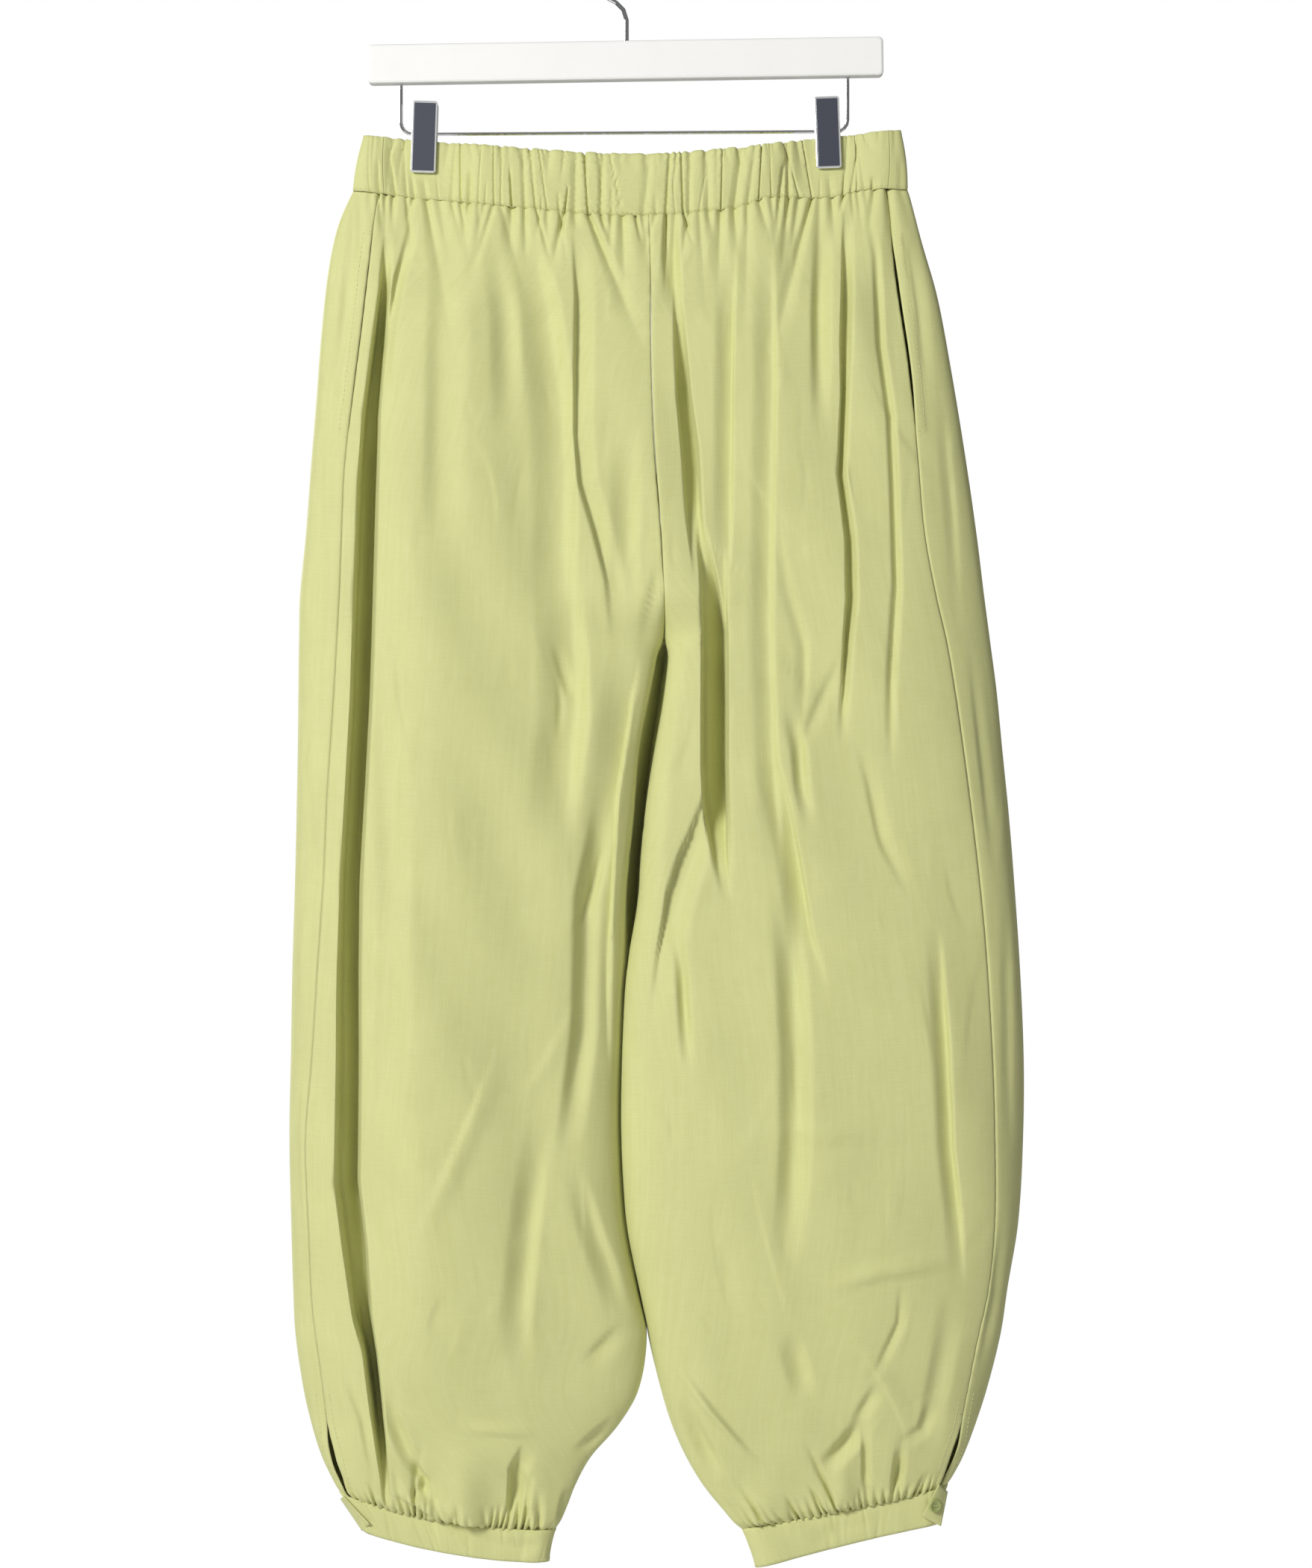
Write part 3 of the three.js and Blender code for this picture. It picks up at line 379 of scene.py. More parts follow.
BACK_FOLDS = {
    "left": [
        (7, 12, 9, [(-158, -200), (-164, -300), (-170, -420), (-176, -560), (-172, -705)]),
        (9, 12, 6, [(-112, -190), (-104, -260), (-97, -350)]),
        (5, 12, 8, [(-62, -190), (-52, -270), (-47, -360), (-30, -445)]),
        (14, 8, 7, [(-92, -515), (-84, -600), (-88, -708)]),
        (8, 15, 9, [(-40, -555), (-46, -680), (-42, -800), (-28, -892)]),
        (6, 15, 6, [(-140, -755), (-132, -850), (-122, -955)]),
        (5, 11, 7, [(-150, -995), (-138, -1060)]),
        (10, 5, 8, [(-66, -995), (-84, -1070)]),
        (3, 12, 3, [(-110, -700), (-92, -740), (-70, -800)]),
        (3, 12, 3, [(-160, -430), (-128, -470), (-96, -500)]),
        (3, 10, -2.4, [(-130, -890), (-90, -902), (-50, -904)]),
        (9, 3, 3.4, [(-8, -400), (-30, -440), (-60, -462)]),
        (4, 10, 4, [(-26, -1000), (-46, -1056)]),
        (3, 9, 3, [(-206, -300), (-206, -420), (-210, -520)]),
        (8, 3, 3, [(-216, -620), (-219, -720), (-221, -800)]),
    ],
    "right": [
        (12, 7, 8, [(168, -195), (176, -300), (188, -420), (196, -560), (200, -695)]),
        (9, 12, 6, [(118, -190), (121, -270), (112, -365)]),
        (12, 5, 8, [(70, -190), (72, -270), (66, -350), (54, -445)]),
        (15, 8, 9, [(66, -555), (60, -670), (52, -790), (62, -885)]),
        (8, 14, 6, [(130, -535), (142, -640), (146, -765)]),
        (14, 6, 7, [(190, -795), (184, -880), (172, -965)]),
        (5, 11, 7, [(110, -985), (120, -1060)]),
        (11, 5, 7, [(176, -985), (168, -1054)]),
        (3, 12, 3, [(100, -690), (124, -742), (140, -800)]),
        (12, 3, 3, [(46, -400), (76, -452), (108, -476)]),
        (3, 10, -2.4, [(80, -880), (130, -896), (180, -896)]),
        (9, 4, 4, [(60, -1000), (76, -1056)]),
        (3, 9, 3, [(208, -300), (216, -420), (226, -520)]),
        (8, 3, 3, [(250, -620), (256, -720), (258, -800)]),
    ],
}

# The back's folds are pressed in this much deeper than their rows say.
BACK_SCALE = 1.6
CUFF_SAG = {"left": 6.5, "right": 1.0}
SEAM_DIP = 0.2
# Where small creases may lie on each leg: x from, to, z from, to, and the seeds of its two sides.
CREASE_BOX = {"left": (-232, 30, -1083, -168), "right": (0, 274, -1083, -168)}
CREASE_SEEDS = {"left": (11, 16), "right": (37, 42)}
SMALL_CREASES = 150
LARGE_CREASES = 22
SWELL = 1.6
CUFF_SEAM_DENT = 1.4
WAIST_SEAM_DENT = 0.9
# How far the cloth bags out and down over the cuffs, then the larger bags: x, half width, out, down.
BAG_OUT = 2.4
BAG_DOWN = 1.0
BAGS = {
    "left": [(-107, 17, 8.0, 5.5), (-160, 9, 3.0, 2.0), (-62, 9, 3.0, 2.0)],
    "right": [(96, 13, 6.0, 4.5), (146, 9, 3.0, 2.5), (178, 8, 3.0, 2.0)],
}


def fold_depth(folds, x, z):
    """How deep a set of folds presses in at each point, with its own width on either side."""
    total = np.zeros_like(x)
    for low_side, high_side, deep, path in folds:
        floors = [p[2] if len(p) > 2 else 0.0 for p in path]
        reach = max(low_side, high_side) + max(floors)
        xs = [p[0] for p in path]
        zs = [p[1] for p in path]
        near = (
            (x > min(xs) - reach)
            & (x < max(xs) + reach)
            & (z > min(zs) - reach)
            & (z < max(zs) + reach)
        )
        px = x[near]
        pz = z[near]
        if not px.size:
            continue
        best = np.full(px.shape, 1e9)
        side = np.zeros(px.shape)
        along = np.zeros(px.shape)
        floor = np.zeros(px.shape)
        run = 0.0
        for i in range(len(path) - 1):
            ax, az = path[i][:2]
            dx = path[i + 1][0] - ax
            dz = path[i + 1][1] - az
            length = math.hypot(dx, dz)
            t = np.clip(((px - ax) * dx + (pz - az) * dz) / length**2, 0.0, 1.0)
            away = np.hypot(px - ax - t * dx, pz - az - t * dz)
            closer = away < best
            best = np.where(closer, away, best)
            side = np.where(closer, dx * (pz - az) - dz * (px - ax), side)
            along = np.where(closer, run + t * length, along)
            floor = np.where(closer, lerp(floors[i], floors[i + 1], t), floor)
            run += length
        width = np.where(side > 0, high_side, low_side)
        past = np.maximum(best - floor, 0)
        across = np.clip(1 - (past / width) ** 2, 0, 1) ** 2
        taper = min(80.0, run / 2.2)
        ends = smooth(-2, taper, along) * smooth(-2, taper, run - along)
        total[near] += deep * across * ends
    return total


def small_creases(seed, count, box, size, x, z):
    """Scatters short crisp creases: each is a low step that fades away on one side."""
    rng = np.random.RandomState(seed)
    low_x, high_x, low_z, high_z = box
    total = np.zeros_like(x)
    for _ in range(count):
        cx = rng.uniform(low_x, high_x)
        cz = rng.uniform(low_z, high_z)
        tilt = rng.normal(0.0, 0.62)
        half = rng.uniform(6, 30) * size
        deep = rng.uniform(0.15, 0.75) * size * rng.choice([-1, 1])
        sharp = rng.uniform(0.8, 2.0)
        soft = rng.uniform(4, 12) * size
        bend = rng.uniform(-0.25, 0.25)
        near = (np.abs(x - cx) < half + soft) & (np.abs(z - cz) < half + soft)
        if not near.any():
            continue
        px = x[near] - cx
        pz = z[near] - cz
        along = px * math.sin(tilt) + pz * math.cos(tilt)
        across = px * math.cos(tilt) - pz * math.sin(tilt) + bend * along**2 / half
        width = np.where(across > 0, soft, sharp)
        rise = np.clip(1 - (across / width) ** 2, 0, 1) ** 2
        fade = np.clip(1 - (along / half) ** 2, 0, 1) ** 2
        total[near] += deep * rise * fade
    return total


def swell(seed, x, z, size):
    """Broad uneven waves, the slack in hanging cloth."""
    rng = np.random.RandomState(seed)
    total = np.zeros_like(x)
    for _ in range(7):
        across = rng.uniform(55, 130)
        down = rng.uniform(150, 420)
        phase = rng.uniform(0, 2 * math.pi)
        skew = rng.uniform(-0.25, 0.25)
        total += np.sin((x + skew * z) * 2 * math.pi / across + z * 2 * math.pi / down + phase)
    return total * size / 3.5


def gather_table(seed, low, high, pitch, deep, short, long):
    """Uneven gathers: place, half width, crisp half width, depth, then reach and slant each way."""
    rng = np.random.RandomState(seed)
    rows = []
    at = low
    while at < high:
        step = pitch * rng.uniform(0.5, 1.5)
        reach = rng.uniform(*long) if rng.rand() < 0.3 else rng.uniform(*short)
        up = rng.uniform(8, 30) if rng.rand() < 0.35 else 90.0
        slants = rng.normal(0, 0.16), rng.normal(0, 0.09)
        wide = max(step * rng.uniform(0.3, 0.5), 1.5)
        crisp = rng.uniform(0.7, 1.2) if rng.rand() < 0.45 else wide * 1.1
        rows.append((at, wide, crisp, deep * rng.uniform(0.35, 1.15), reach, up, *slants))
        at += step
    return rows


def gathers_down(table, x, drop):
    """Troughs that start narrow at a gathered edge, widen and die out away from it."""
    total = np.zeros_like(x)
    for at, wide, _, deep, reach, _, slant, _ in table:
        near = (np.abs(x - at) < 5 * wide + 0.4 * reach) & (drop < reach)
        run = np.maximum(drop[near], 0)
        away = np.abs(x[near] - at - slant * run) / (wide * (1 + run / 30))
        total[near] += deep * np.clip(1 - away, 0, 1) ** 1.5 * (1 - run / reach) ** 1.1
    return total


def gathers_up(table, x, height):
    """The same gathers where they run on up the casing as narrow valleys between round ridges."""
    total = np.zeros_like(x)
    for at, _, crisp, deep, _, reach, _, slant in table:
        away = np.abs(x - at - slant * height) / crisp
        rise = np.clip(1 - away, 0, 1) ** 1.3
        total += rise * deep * (0.6 * (1 - smooth(0.6 * reach, reach, height)) + 0.4 * np.exp(-height / 3))
    return total


def both_sides(shown_seed, hidden_seed, *row):
    return {True: gather_table(shown_seed, *row), False: gather_table(hidden_seed, *row)}


WAIST_GATHERS = both_sides(21, 34, -187, 191, 6.2, 5.0, (14, 46), (55, 120))
TOP_GATHERS = both_sides(51, 64, -180, 187, 7.0, 3.0, (7, 22), (16, 36))
CUFF_GATHERS = {
    "left": both_sides(71, 75, 0, CUFF_WIDTH, 4.6, 9.0, (9, 24), (26, 58)),
    "right": both_sides(83, 87, 0, CUFF_WIDTH, 4.6, 9.0, (9, 24), (26, 58)),
}


def by_side(shown, tables, reader, x, distance):
    """Reads the gathers of the shown side where a point faces forward and the others behind."""
    return np.where(shown, reader(tables[True], x, distance), reader(tables[False], x, distance))


def near_clips(x, flat, reach):
    """1 in front of a clip, falling to 0 between two distances from its middle."""
    most = np.zeros_like(x)
    for centre in PINCH_CENTRES:
        most = np.maximum(most, 1 - smooth(flat, reach, np.abs(x - centre)))
    return most


def pinch_at(x):
    """Where the clips press the waist flat."""
    return near_clips(x, PINCH_FLAT, PINCH_REACH)


def power(value, exponent):
    return np.sign(value) * np.abs(value) ** exponent


def edge_heights(leg, share):
    """How high the outer and the inner edge are at a share of the way down a leg."""
    return lerp(WAIST_SIDE_Z, leg["end"], share), lerp(WAIST_CENTRE_Z, INNER_END_Z, share)


def press_in(at, press):
    """Base points moved in by the folds, along their own directions."""
    return at["x"] - at["mx"] * press, at["y"] - at["my"] * press


def leg_base(leg, share, turn):
    """Points of a leg with no folds: turn 0 is the outer edge, positive turns lie in front."""
    outer_z, inner_z = edge_heights(leg, share)
    c = power(np.cos(turn), SECTION_POWER)
    s = np.abs(np.sin(turn)) ** SECTION_POWER
    front = turn > 0
    across = (c + 1) / 2
    level = lerp(inner_z, outer_z, across)
    outer = read(leg["rows"], 1, outer_z)
    early = smooth(-(CROTCH_Z + SPLIT_ABOVE), -CROTCH_Z, -inner_z)
    late = smooth(-(CROTCH_Z + 30), 5 - CROTCH_Z, -inner_z)
    split = np.where(front, late, early)
    hollow = smooth(*CLEFT_TOP, -inner_z) * (1 - smooth(*CLEFT_FOOT, -inner_z))
    gap = lerp(0.1, LEG_GAP, smooth(-(CROTCH_Z + 10), -(CROTCH_Z - 50), -inner_z)) / 2
    gap = gap - CLEFT_OVERLAP * hollow
    inner = read(leg["rows"], 2, inner_z) + leg["side"] * gap
    x = lerp(inner, outer, across)
    sag_start = lerp(WAIST_CENTRE_Z, WAIST_SIDE_Z, across)
    sag = (read(WAIST_LINE, 1, x) - 0.1 - sag_start) * (1 - share) ** 3
    fullness = lerp(INNER_POWER, CLEFT_POWER, hollow)
    full = np.abs(np.sin(turn)) ** np.where(front, fullness, SECTION_POWER)
    body = np.where(np.cos(turn) > 0, s, lerp(1.0, full, split))
    pinch = 1 - PINCH_SEAM * pinch_at(x) * (1 - smooth(0, 0.1, share))
    depth = np.where(front, read(DEPTH, 1, level), read(DEPTH, 2, level)) * pinch
    way = np.where(front, -1.0, 1.0)
    lean = split * (1 - smooth(*LEAN_END, -inner_z)) * (1 - across) ** 2
    lean = lean * (LEAN_SHARE + (1 - LEAN_SHARE) * smooth(*LEAN_FULL, -inner_z))
    x = x + LEAN * lean * way * smooth(0, 0.4, body)
    # The front edges draw apart below the crotch, which leaves a dark cleft closed behind.
    cleft = hollow * (1 - smooth(0.02, 0.09, across))
    x = x + leg["side"] * CLEFT * cleft * front * smooth(0.03, 0.2, body)
    deep = CLEFT_DEEP * cleft * (1 - np.clip(body, 0, 1)) ** 2
    inward = np.where(np.cos(turn) > 0, c**3, c**3 * split)
    return {
        "x": x,
        "y": way * depth * body + deep,
        "z": level + sag,
        "mx": leg["side"] * inward,
        "my": way * body,
        "facing": body,
        "across": across,
    }


def seam_turn(leg, share):
    """The turn at which the side seam lies."""
    outer_z, inner_z = edge_heights(leg, share)
    outer = read(leg["rows"], 1, outer_z)
    inner = read(leg["rows"], 2, inner_z)
    across = (read(leg["rows"], 3, outer_z) - inner) / (outer - inner)
    return np.arccos(np.clip(2 * across - 1, 0, 1) ** (1 / SECTION_POWER))


def side_gap(name, z):
    """How far the pocket mouth and the slit stand open along the side seam."""
    pocket = smooth(-POCKET_TOP, 35 - POCKET_TOP, -z) * (1 - smooth(-39 - POCKET_FOOT, -POCKET_FOOT, -z))
    slit = SLIT_OPEN * smooth(-SLIT_TOP, 25 - SLIT_TOP, -z)
    return 0.1 + POCKET_OPEN[name] * pocket + slit


def panel_rows():
    """Shares of the way down a leg, closer together near the two gathered ends."""
    even = np.linspace(0, 1, ROWS)
    return even - 0.45 * np.sin(2 * math.pi * even) / (2 * math.pi)


def panel_field(leg, share, turn):
    """Base points of a panel and how far folds, gathers and creases press in there."""
    at = leg_base(leg, share, turn)
    x = at["x"]
    z = at["z"]
    shown = at["my"] < 0
    name = leg["name"]
    free = smooth(0, 0.12, share) * (1 - smooth(0.93, 1, share))
    broad = smooth(0.1, 0.6, at["facing"])
    sides = []
    box = CREASE_BOX[name]
    for folds, scale, seed in zip((FRONT_FOLDS, BACK_FOLDS), (1.0, BACK_SCALE), CREASE_SEEDS[name]):
        creases = small_creases(seed + 1, SMALL_CREASES, box, 1.0, x, z) * 0.6
        creases = creases + small_creases(seed + 2, LARGE_CREASES, box, 2.3, x, z) * 0.7
        soft = creases * smooth(0.1, 0.5, at["facing"]) + swell(seed, x, z, SWELL) * free * broad
        sides.append(scale * fold_depth(folds[name], x, z) * broad + soft)
    press = np.where(shown, sides[0], sides[1])
    from_waist = np.maximum(read(WAIST_LINE, 1, x) - z, 0)
    facing = smooth(0.25, 0.7, at["facing"])
    press = press + by_side(shown, WAIST_GATHERS, gathers_down, x, from_waist) * facing
    from_cuff = (1 - share) * (WAIST_CENTRE_Z - INNER_END_Z) + np.zeros_like(x)
    along = at["across"]
    press = press + by_side(shown, CUFF_GATHERS[name], gathers_down, along * CUFF_WIDTH, from_cuff) * facing
    # The cloth bags out above the cuff and hangs a little over its seam.
    out = BAG_OUT
    down = BAG_DOWN
    for centre, half, more_out, more_down in BAGS[name]:
        bump = np.exp(-(((x - centre) / half) ** 2)) * shown
        out = out + more_out * bump
        down = down + more_down * bump
    uneven = 0.7 + 0.3 * np.sin(along * CUFF_WIDTH / 11.0 + np.where(shown, 1.0, 3.0))
    press = press - out * uneven * smooth(0, 7, from_cuff) * (1 - smooth(14, 64, from_cuff)) * facing
    press = press + CUFF_SEAM_DENT * np.exp(-from_cuff / 2.5) + WAIST_SEAM_DENT * np.exp(-from_waist / 2.5)
    sag = CUFF_SAG[name] * 4 * along * (1 - along) * (1 - smooth(0, 260, from_cuff))
    at["z"] = z - sag - down * uneven * smooth(0, 9, from_cuff) * (1 - smooth(10, 60, from_cuff))
    at["z"] = at["z"] - SEAM_DIP * press * np.exp(-from_waist / 5)
    at["mx"] = at["mx"] * (1 - smooth(0.35, 0.85, at["facing"]))
    return at, press


def resample(values, weights, count, gaps, even_rows=0):
    """Picks points at even distances along each row, in every listed array, between two end gaps.

    Distances may be averaged over rows on each side, so that no column swerves between two rows.
    """
    if even_rows:
        span = 2 * even_rows + 1
        padded = np.pad(weights, ((even_rows + 1, even_rows), (0, 0)), mode="edge")
        total = np.cumsum(padded, axis=0)
        weights = (total[span:] - total[:-span]) / span
    start, stop = gaps
    run = running(weights)
    goal = start[:, None] + np.linspace(0, 1, count)[None, :] * (run[:, -1] - start - stop)[:, None]
    picked = {"run": goal}
    for key, array in values.items():
        picked[key] = np.stack([np.interp(goal[i], run[i], array[i]) for i in range(len(goal))])
    return picked


def new_piece(name, verts, faces):
    """A smooth shaded mesh in the scene, from points in millimetres."""
    mesh = bpy.data.meshes.new(name)
    mesh.from_pydata((np.array(verts) * MM).tolist(), [], faces)
    mesh.polygons.foreach_set("use_smooth", np.ones(len(mesh.polygons), bool))
    mesh.update()
    piece = bpy.data.objects.new(name, mesh)
    bpy.context.scene.collection.objects.link(piece)
    return piece


def cloth_piece(name, grid, thick, flip, material, *nodes):
    """A thin shell of cloth on rows and columns of points, with its cut laid out as UV in metres."""
    rows, columns = grid["x"].shape
    verts = np.stack([grid["x"], grid["y"], grid["z"]], axis=-1).reshape(-1, 3)
    a = (np.arange(rows - 1)[:, None] * columns + np.arange(columns - 1)[None, :]).reshape(-1)
    quads = np.stack([a, a + columns, a + columns + 1, a + 1], axis=-1)
    if flip:
        quads = quads[:, ::-1]
    piece = new_piece(name, verts, quads.tolist())
    layer = piece.data.uv_layers.new(name="cut")
    order = np.zeros(len(piece.data.loops), int)
    piece.data.loops.foreach_get("vertex_index", order)
    cut = [np.broadcast_to(grid[key], (rows, columns)).reshape(-1)[order] for key in ("run", "down")]
    layer.data.foreach_set("uv", (np.stack(cut, axis=-1) * MM).reshape(-1).astype(np.float32))
    shell = piece.modifiers.new("cloth", "SOLIDIFY")
    shell.thickness = thick * MM
    shell.offset = -1
    shell.use_even_offset = False
    return finish_piece(piece, material, "poplin", *nodes)


def surface(grid):
    """The points of a grid and the directions that face out of the cloth there."""
    points = np.stack([grid["x"], grid["y"], grid["z"]], axis=-1)
    out = np.cross(np.gradient(points, axis=1), np.gradient(points, axis=0))
    out = out / np.maximum(np.linalg.norm(out, axis=-1, keepdims=True), 1e-9)
    if (out * (points - points.mean(axis=(0, 1)))).sum() < 0:
        out = -out
    return points, out


def on_row(grid, points, out, row, distance):
    """The point at a distance along one row, and the direction out of the cloth there."""
    run = grid["run"][row] - grid["run"][row, 0]
    spot = [np.interp(distance, run, points[row, :, axis]) for axis in range(3)]
    way = [np.interp(distance, run, out[row, :, axis]) for axis in range(3)]
    return spot, way


def line_down(grid, from_start, top, foot):
    """A line down the cloth at an even distance from a panel's first edge."""
    points, out = surface(grid)
    line = [on_row(grid, points, out, row, from_start) for row in range(len(points))]
    return [(spot, way) for spot, way in line if foot <= spot[2] <= top]


def line_across(grid, height, start, stop):
    """A line along the cloth at one height, between two distances from the first edge."""
    points, out = surface(grid)
    row = int(np.argmin(np.abs(points[:, 4, 2] - height)))
    distances = np.linspace(start, stop, max(int((stop - start) / 0.8), 4))
    return [on_row(grid, points, out, row, distance) for distance in distances]


def row_line(grid, row):
    """The line along one row of a grid, which may lie between two rows."""
    points, out = surface(grid)
    low = int(row)
    share = row - low
    spots = lerp(points[low], points[low + 1], share)
    ways = lerp(out[low], out[low + 1], share)
    return list(zip(spots, ways))


# One stitch: shares of its length, how far each is lifted out of the cloth, and its share of the width.
STITCH = np.array([
    (0.0, -0.25, 0.35),
    (0.22, 0.7, 0.9),
    (0.5, 1.0, 1.0),
    (0.78, 0.7, 0.9),
    (1.0, -0.25, 0.35),
])
STITCH_SIDES = 4


def ring_faces(first, count):
    """Faces between a ring of points and the next one."""
    sides = [(i, (i + 1) % count) for i in range(count)]
    return [(first + a, first + b, first + count + b, first + count + a) for a, b in sides]


def sew(verts, faces, line, length, gap, wide, high):
    """Adds a row of short threads that dip into the cloth at their ends."""
    points = np.array([p[0] for p in line], float)
    ways = np.array([p[1] for p in line], float)
    run = running(np.linalg.norm(np.diff(points, axis=0), axis=1))
    stations, lift, slim = STITCH.T
    lift = lift * high
    slim = slim * wide / 2
    at = gap / 2
    while at + length < run[-1]:
        spots = np.stack([np.interp(at + stations * length, run, points[:, k]) for k in range(3)], axis=-1)
        out = np.array([np.interp(at + length / 2, run, ways[:, k]) for k in range(3)])
        out = out / np.linalg.norm(out)
        aside = np.cross(spots[-1] - spots[0], out)
        aside = aside / np.linalg.norm(aside)
        first = len(verts)
        for k in range(len(STITCH)):
            middle = spots[k] + out * lift[k]
            if k:
                faces += ring_faces(len(verts) - STITCH_SIDES, STITCH_SIDES)
            for corner in range(STITCH_SIDES):
                turn = corner * math.pi / 2
                verts.append(middle + aside * slim[k] * math.cos(turn) + out * slim[k] * math.sin(turn))
        last = len(verts) - STITCH_SIDES
        faces.append(tuple(first + corner for corner in reversed(range(STITCH_SIDES))))
        faces.append(tuple(last + corner for corner in range(STITCH_SIDES)))
        at += length + gap


def add_threads(name, lines, material, length=2.3, gap=1.0, wide=0.42, high=0.16):
    """All the stitches of one piece as one mesh."""
    verts = []
    faces = []
    for line in lines:
        if len(line) > 1:
            sew(verts, faces, line, length, gap, wide, high)
    finish_piece(new_piece(name, verts, faces), material, "poplin")


def finish_piece(piece, material, slot, *nodes):
    """Gives a piece its material and its body, and hides the solids that it stands for. The slot is not used.
    """
    piece.data.materials.append(material)
    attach(piece, BODY)
    if nodes:
        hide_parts(*nodes)
    return piece


def make_panel(leg, face, material):
    """A leg's front or back panel, from the side seam round to the inner edge."""
    share = panel_rows()
    start = seam_turn(leg, share)
    end = math.pi if face == "front" else -math.pi
    turn = start[:, None] + (end - start[:, None]) * np.linspace(0, 1, FINE)[None, :]
    turn = np.where(np.abs(turn) < 1e-6, -1e-6, turn)
    at, press = panel_field(leg, share[:, None] + np.zeros_like(turn), turn)
    z = at["z"]
    from_seam = running(step_lengths(at["x"], at["y"]))
    pucker = SEAM_PUCKER * np.sin(z / 1.9 + 2.0 * np.sin(z / 23.0))
    for away in (from_seam, from_seam[:, -1:] - from_seam):
        press = press + (SEAM_DENT + pucker) * np.exp(-((away / SEAM_WIDE) ** 2))
    replaced = [f"{face}_leg_{leg['name']}"]
    if face == "back":
        pocket = smooth(-POCKET_TOP, 6 - POCKET_TOP, -z) * (1 - smooth(-6 - POCKET_FOOT, -POCKET_FOOT, -z))
        press = press - pocket * (1 - smooth(POCKET_EDGE - 0.6, POCKET_EDGE + 0.6, from_seam))
        replaced.append(f"pocket_edge_{leg['name']}")
    x, y = press_in(at, press)
    gaps = side_gap(leg["name"], z[:, 0]) / 2, np.full(ROWS, INNER_EDGE_GAP)
    grid = resample({"x": x, "y": y, "z": z}, step_lengths(x, y), COLUMNS, gaps, EVEN_ROWS)
    grid["down"] = running(-np.diff(z.mean(axis=1)))[:, None]
    flip = (face == "front") == (leg["side"] > 0)
    piece = cloth_piece(f"cloth_{replaced[0]}", grid, CLOTH_THICK, flip, material, *replaced)
    return grid


def panel_stitches(face, grid):
    """Stitch lines beside the pocket mouth and the slit of one panel."""
    lines = [
        line_down(grid, SLIT_STITCH, SLIT_TOP + 18, SLIT_TOP - 60),
        line_across(grid, SLIT_TOP + 1, 0.6, SLIT_STITCH),
        line_across(grid, SLIT_TOP + 3, 0.6, SLIT_STITCH),
    ]
    if face == "back":
        lines.append(line_down(grid, POCKET_EDGE - 0.7, POCKET_TOP, POCKET_FOOT))
        for height in (POCKET_TOP, POCKET_TOP - 1.6, POCKET_FOOT, POCKET_FOOT + 1.6):
            lines.append(line_across(grid, height, 0.5, POCKET_EDGE - 0.7))
    return lines


def band_points(turn, height):
    """The waistband's ring: height 0 is its seam and 1 its top edge."""
    drop = 1 - np.clip(height, 0, 1)
    left = lerp(BAND_EDGES_TOP[0], BAND_EDGES_FOOT[0], drop)
    right = lerp(BAND_EDGES_TOP[1], BAND_EDGES_FOOT[1], drop)
    c = power(np.cos(turn), BAND_POWER)
    s = np.abs(np.sin(turn)) ** BAND_POWER
    way = np.where(turn > 0, -1.0, 1.0)
    x = lerp(left, right, (c + 1) / 2)
    squeeze = 1 - lerp(PINCH_TOP, PINCH_SEAM, smooth(PINCH_FOOT, 1, drop)) * pinch_at(x)
    z = lerp(read(BAND_TOP, 1, x), read(WAIST_LINE, 1, x) - BAND_LAP, drop)
    return {"x": x, "y": way * BAND_DEPTH * s * squeeze, "z": z, "mx": c**3, "my": way * s}


